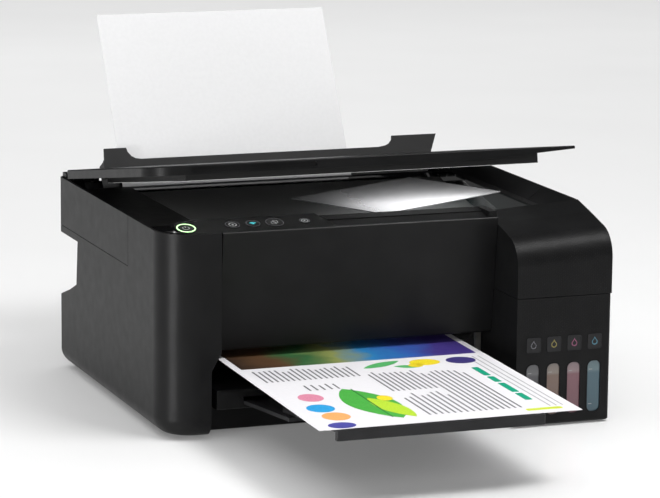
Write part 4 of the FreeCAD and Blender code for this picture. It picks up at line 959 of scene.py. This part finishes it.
class PRINTER_OT_stage(bpy.types.Operator):
    """Pale floor, soft lights and the camera"""
    bl_idname = "printer.stage"
    bl_label = "Stage"

    def execute(self, context):
        scene = context.scene
        floor_shape = bmesh.new()
        corners = [(-9, -9), (9, -9), (9, 9), (-9, 9)]
        floor_shape.faces.new([floor_shape.verts.new((x, y, 0.0)) for x, y in corners])
        floor = from_bmesh("floor", floor_shape)
        tone = scene.printer_lights.floor_tone
        finish = Finish("floor", Specular_IOR_Level=0.5, Emission_Strength=1.0)
        far = finish.ramp(finish.axis_value("Y", *FLOOR_SPAN), [(0.0, FLOOR_GLOW_NEAR), (1.0, FLOOR_GLOW_FAR)])
        finish.links.new(far, finish.shader.inputs["Emission Color"])
        finish.mottle((tone, tone, tone), 3.0, 0.01)
        finish.rough(0.14, 0.2, 4.0)
        paint(floor, finish.material)
        self.backdrop(scene)
        for name, place, aim, size, power, glossy in LAMPS:
            data = bpy.data.lights.new(name, "AREA")
            data.shape = "RECTANGLE"
            data.size, data.size_y = size
            data.energy = power
            lamp = bpy.data.objects.new(name, data)
            lamp.location = place
            lamp.rotation_mode = "QUATERNION"
            lamp.rotation_quaternion = (Vector(aim) - Vector(place)).to_track_quat("-Z", "Y")
            lamp.visible_glossy = glossy
            lamp.visible_camera = False
            scene.collection.objects.link(lamp)
        data = bpy.data.cameras.new("camera")
        data.sensor_width = 36.0
        data.lens = LENS
        data.clip_end = 30.0
        camera = bpy.data.objects.new("camera", data)
        across = Vector((0.93664, -0.35018, 0.00926))
        up = Vector((0.05717, 0.17887, 0.98221))
        back = Vector((-0.34560, -0.91945, 0.18756))
        x, y, z = CAMERA_PLACE
        camera.matrix_world = Matrix(((across.x, up.x, back.x, x), (across.y, up.y, back.y, y),
                                      (across.z, up.z, back.z, z), (0, 0, 0, 1)))
        scene.collection.objects.link(camera)
        scene.camera = camera
        scene.view_settings.view_transform = "Standard"
        return {"FINISHED"}

    def backdrop(self, scene):
        """White behind the printer and near the floor, dark overhead and in front."""
        world = bpy.data.worlds.new("studio")
        scene.world = world
        world.use_nodes = True
        nodes, links = world.node_tree.nodes, world.node_tree.links
        background = nodes["Background"]
        split = nodes.new("ShaderNodeSeparateXYZ")
        links.new(nodes.new("ShaderNodeTexCoord").outputs["Generated"], split.inputs["Vector"])
        masks = []
        for axis, low, high in (("Y", -0.35, 0.35), ("Z", 0.60, 0.30)):
            mask = nodes.new("ShaderNodeMapRange")
            mask.interpolation_type = "SMOOTHSTEP"
            mask.inputs["From Min"].default_value = low
            mask.inputs["From Max"].default_value = high
            links.new(split.outputs[axis], mask.inputs["Value"])
            masks.append(mask.outputs["Result"])
        both = nodes.new("ShaderNodeMath")
        both.operation = "MULTIPLY"
        links.new(masks[0], both.inputs[0])
        links.new(masks[1], both.inputs[1])
        strength = nodes.new("ShaderNodeMapRange")
        strength.inputs["To Min"].default_value = 0.10
        strength.inputs["To Max"].default_value = 1.05
        links.new(both.outputs[0], strength.inputs["Value"])
        links.new(strength.outputs["Result"], background.inputs["Strength"])


class PRINTER_PT_panel(bpy.types.Panel):
    """Sidebar panel with the printer's pieces"""
    bl_idname = "PRINTER_PT_panel"
    bl_label = "Printer"
    bl_space_type = "VIEW_3D"
    bl_region_type = "UI"
    bl_category = "Printer"

    def draw(self, context):
        for group in (context.scene.printer_case, context.scene.printer_tanks, context.scene.printer_lights):
            for prop in group.bl_rna.properties:
                if prop.identifier not in {"rna_type", "name"}:
                    self.layout.prop(group, prop.identifier)
        for operator in OPERATORS:
            self.layout.operator(operator.bl_idname)


OPERATORS = (PRINTER_OT_stage, PRINTER_OT_finishes, PRINTER_OT_badges, PRINTER_OT_windows,
             PRINTER_OT_dashes, PRINTER_OT_power_ring, PRINTER_OT_console_marks, PRINTER_OT_page,
             PRINTER_OT_vents)
GROUPS = {"printer_case": PrinterCase, "printer_tanks": PrinterTanks, "printer_lights": PrinterLights}
CLASSES = (*GROUPS.values(), *OPERATORS, PRINTER_PT_panel)


def register():
    for cls in CLASSES:
        bpy.utils.register_class(cls)
    for name, group in GROUPS.items():
        setattr(bpy.types.Scene, name, bpy.props.PointerProperty(type=group))


def unregister():
    for name in GROUPS:
        delattr(bpy.types.Scene, name)
    for cls in reversed(CLASSES):
        bpy.utils.unregister_class(cls)


def main():
    register()
    for operator in OPERATORS:
        group, name = operator.bl_idname.split(".")
        getattr(getattr(bpy.ops, group), name)()


if __name__ == "__main__":
    main()
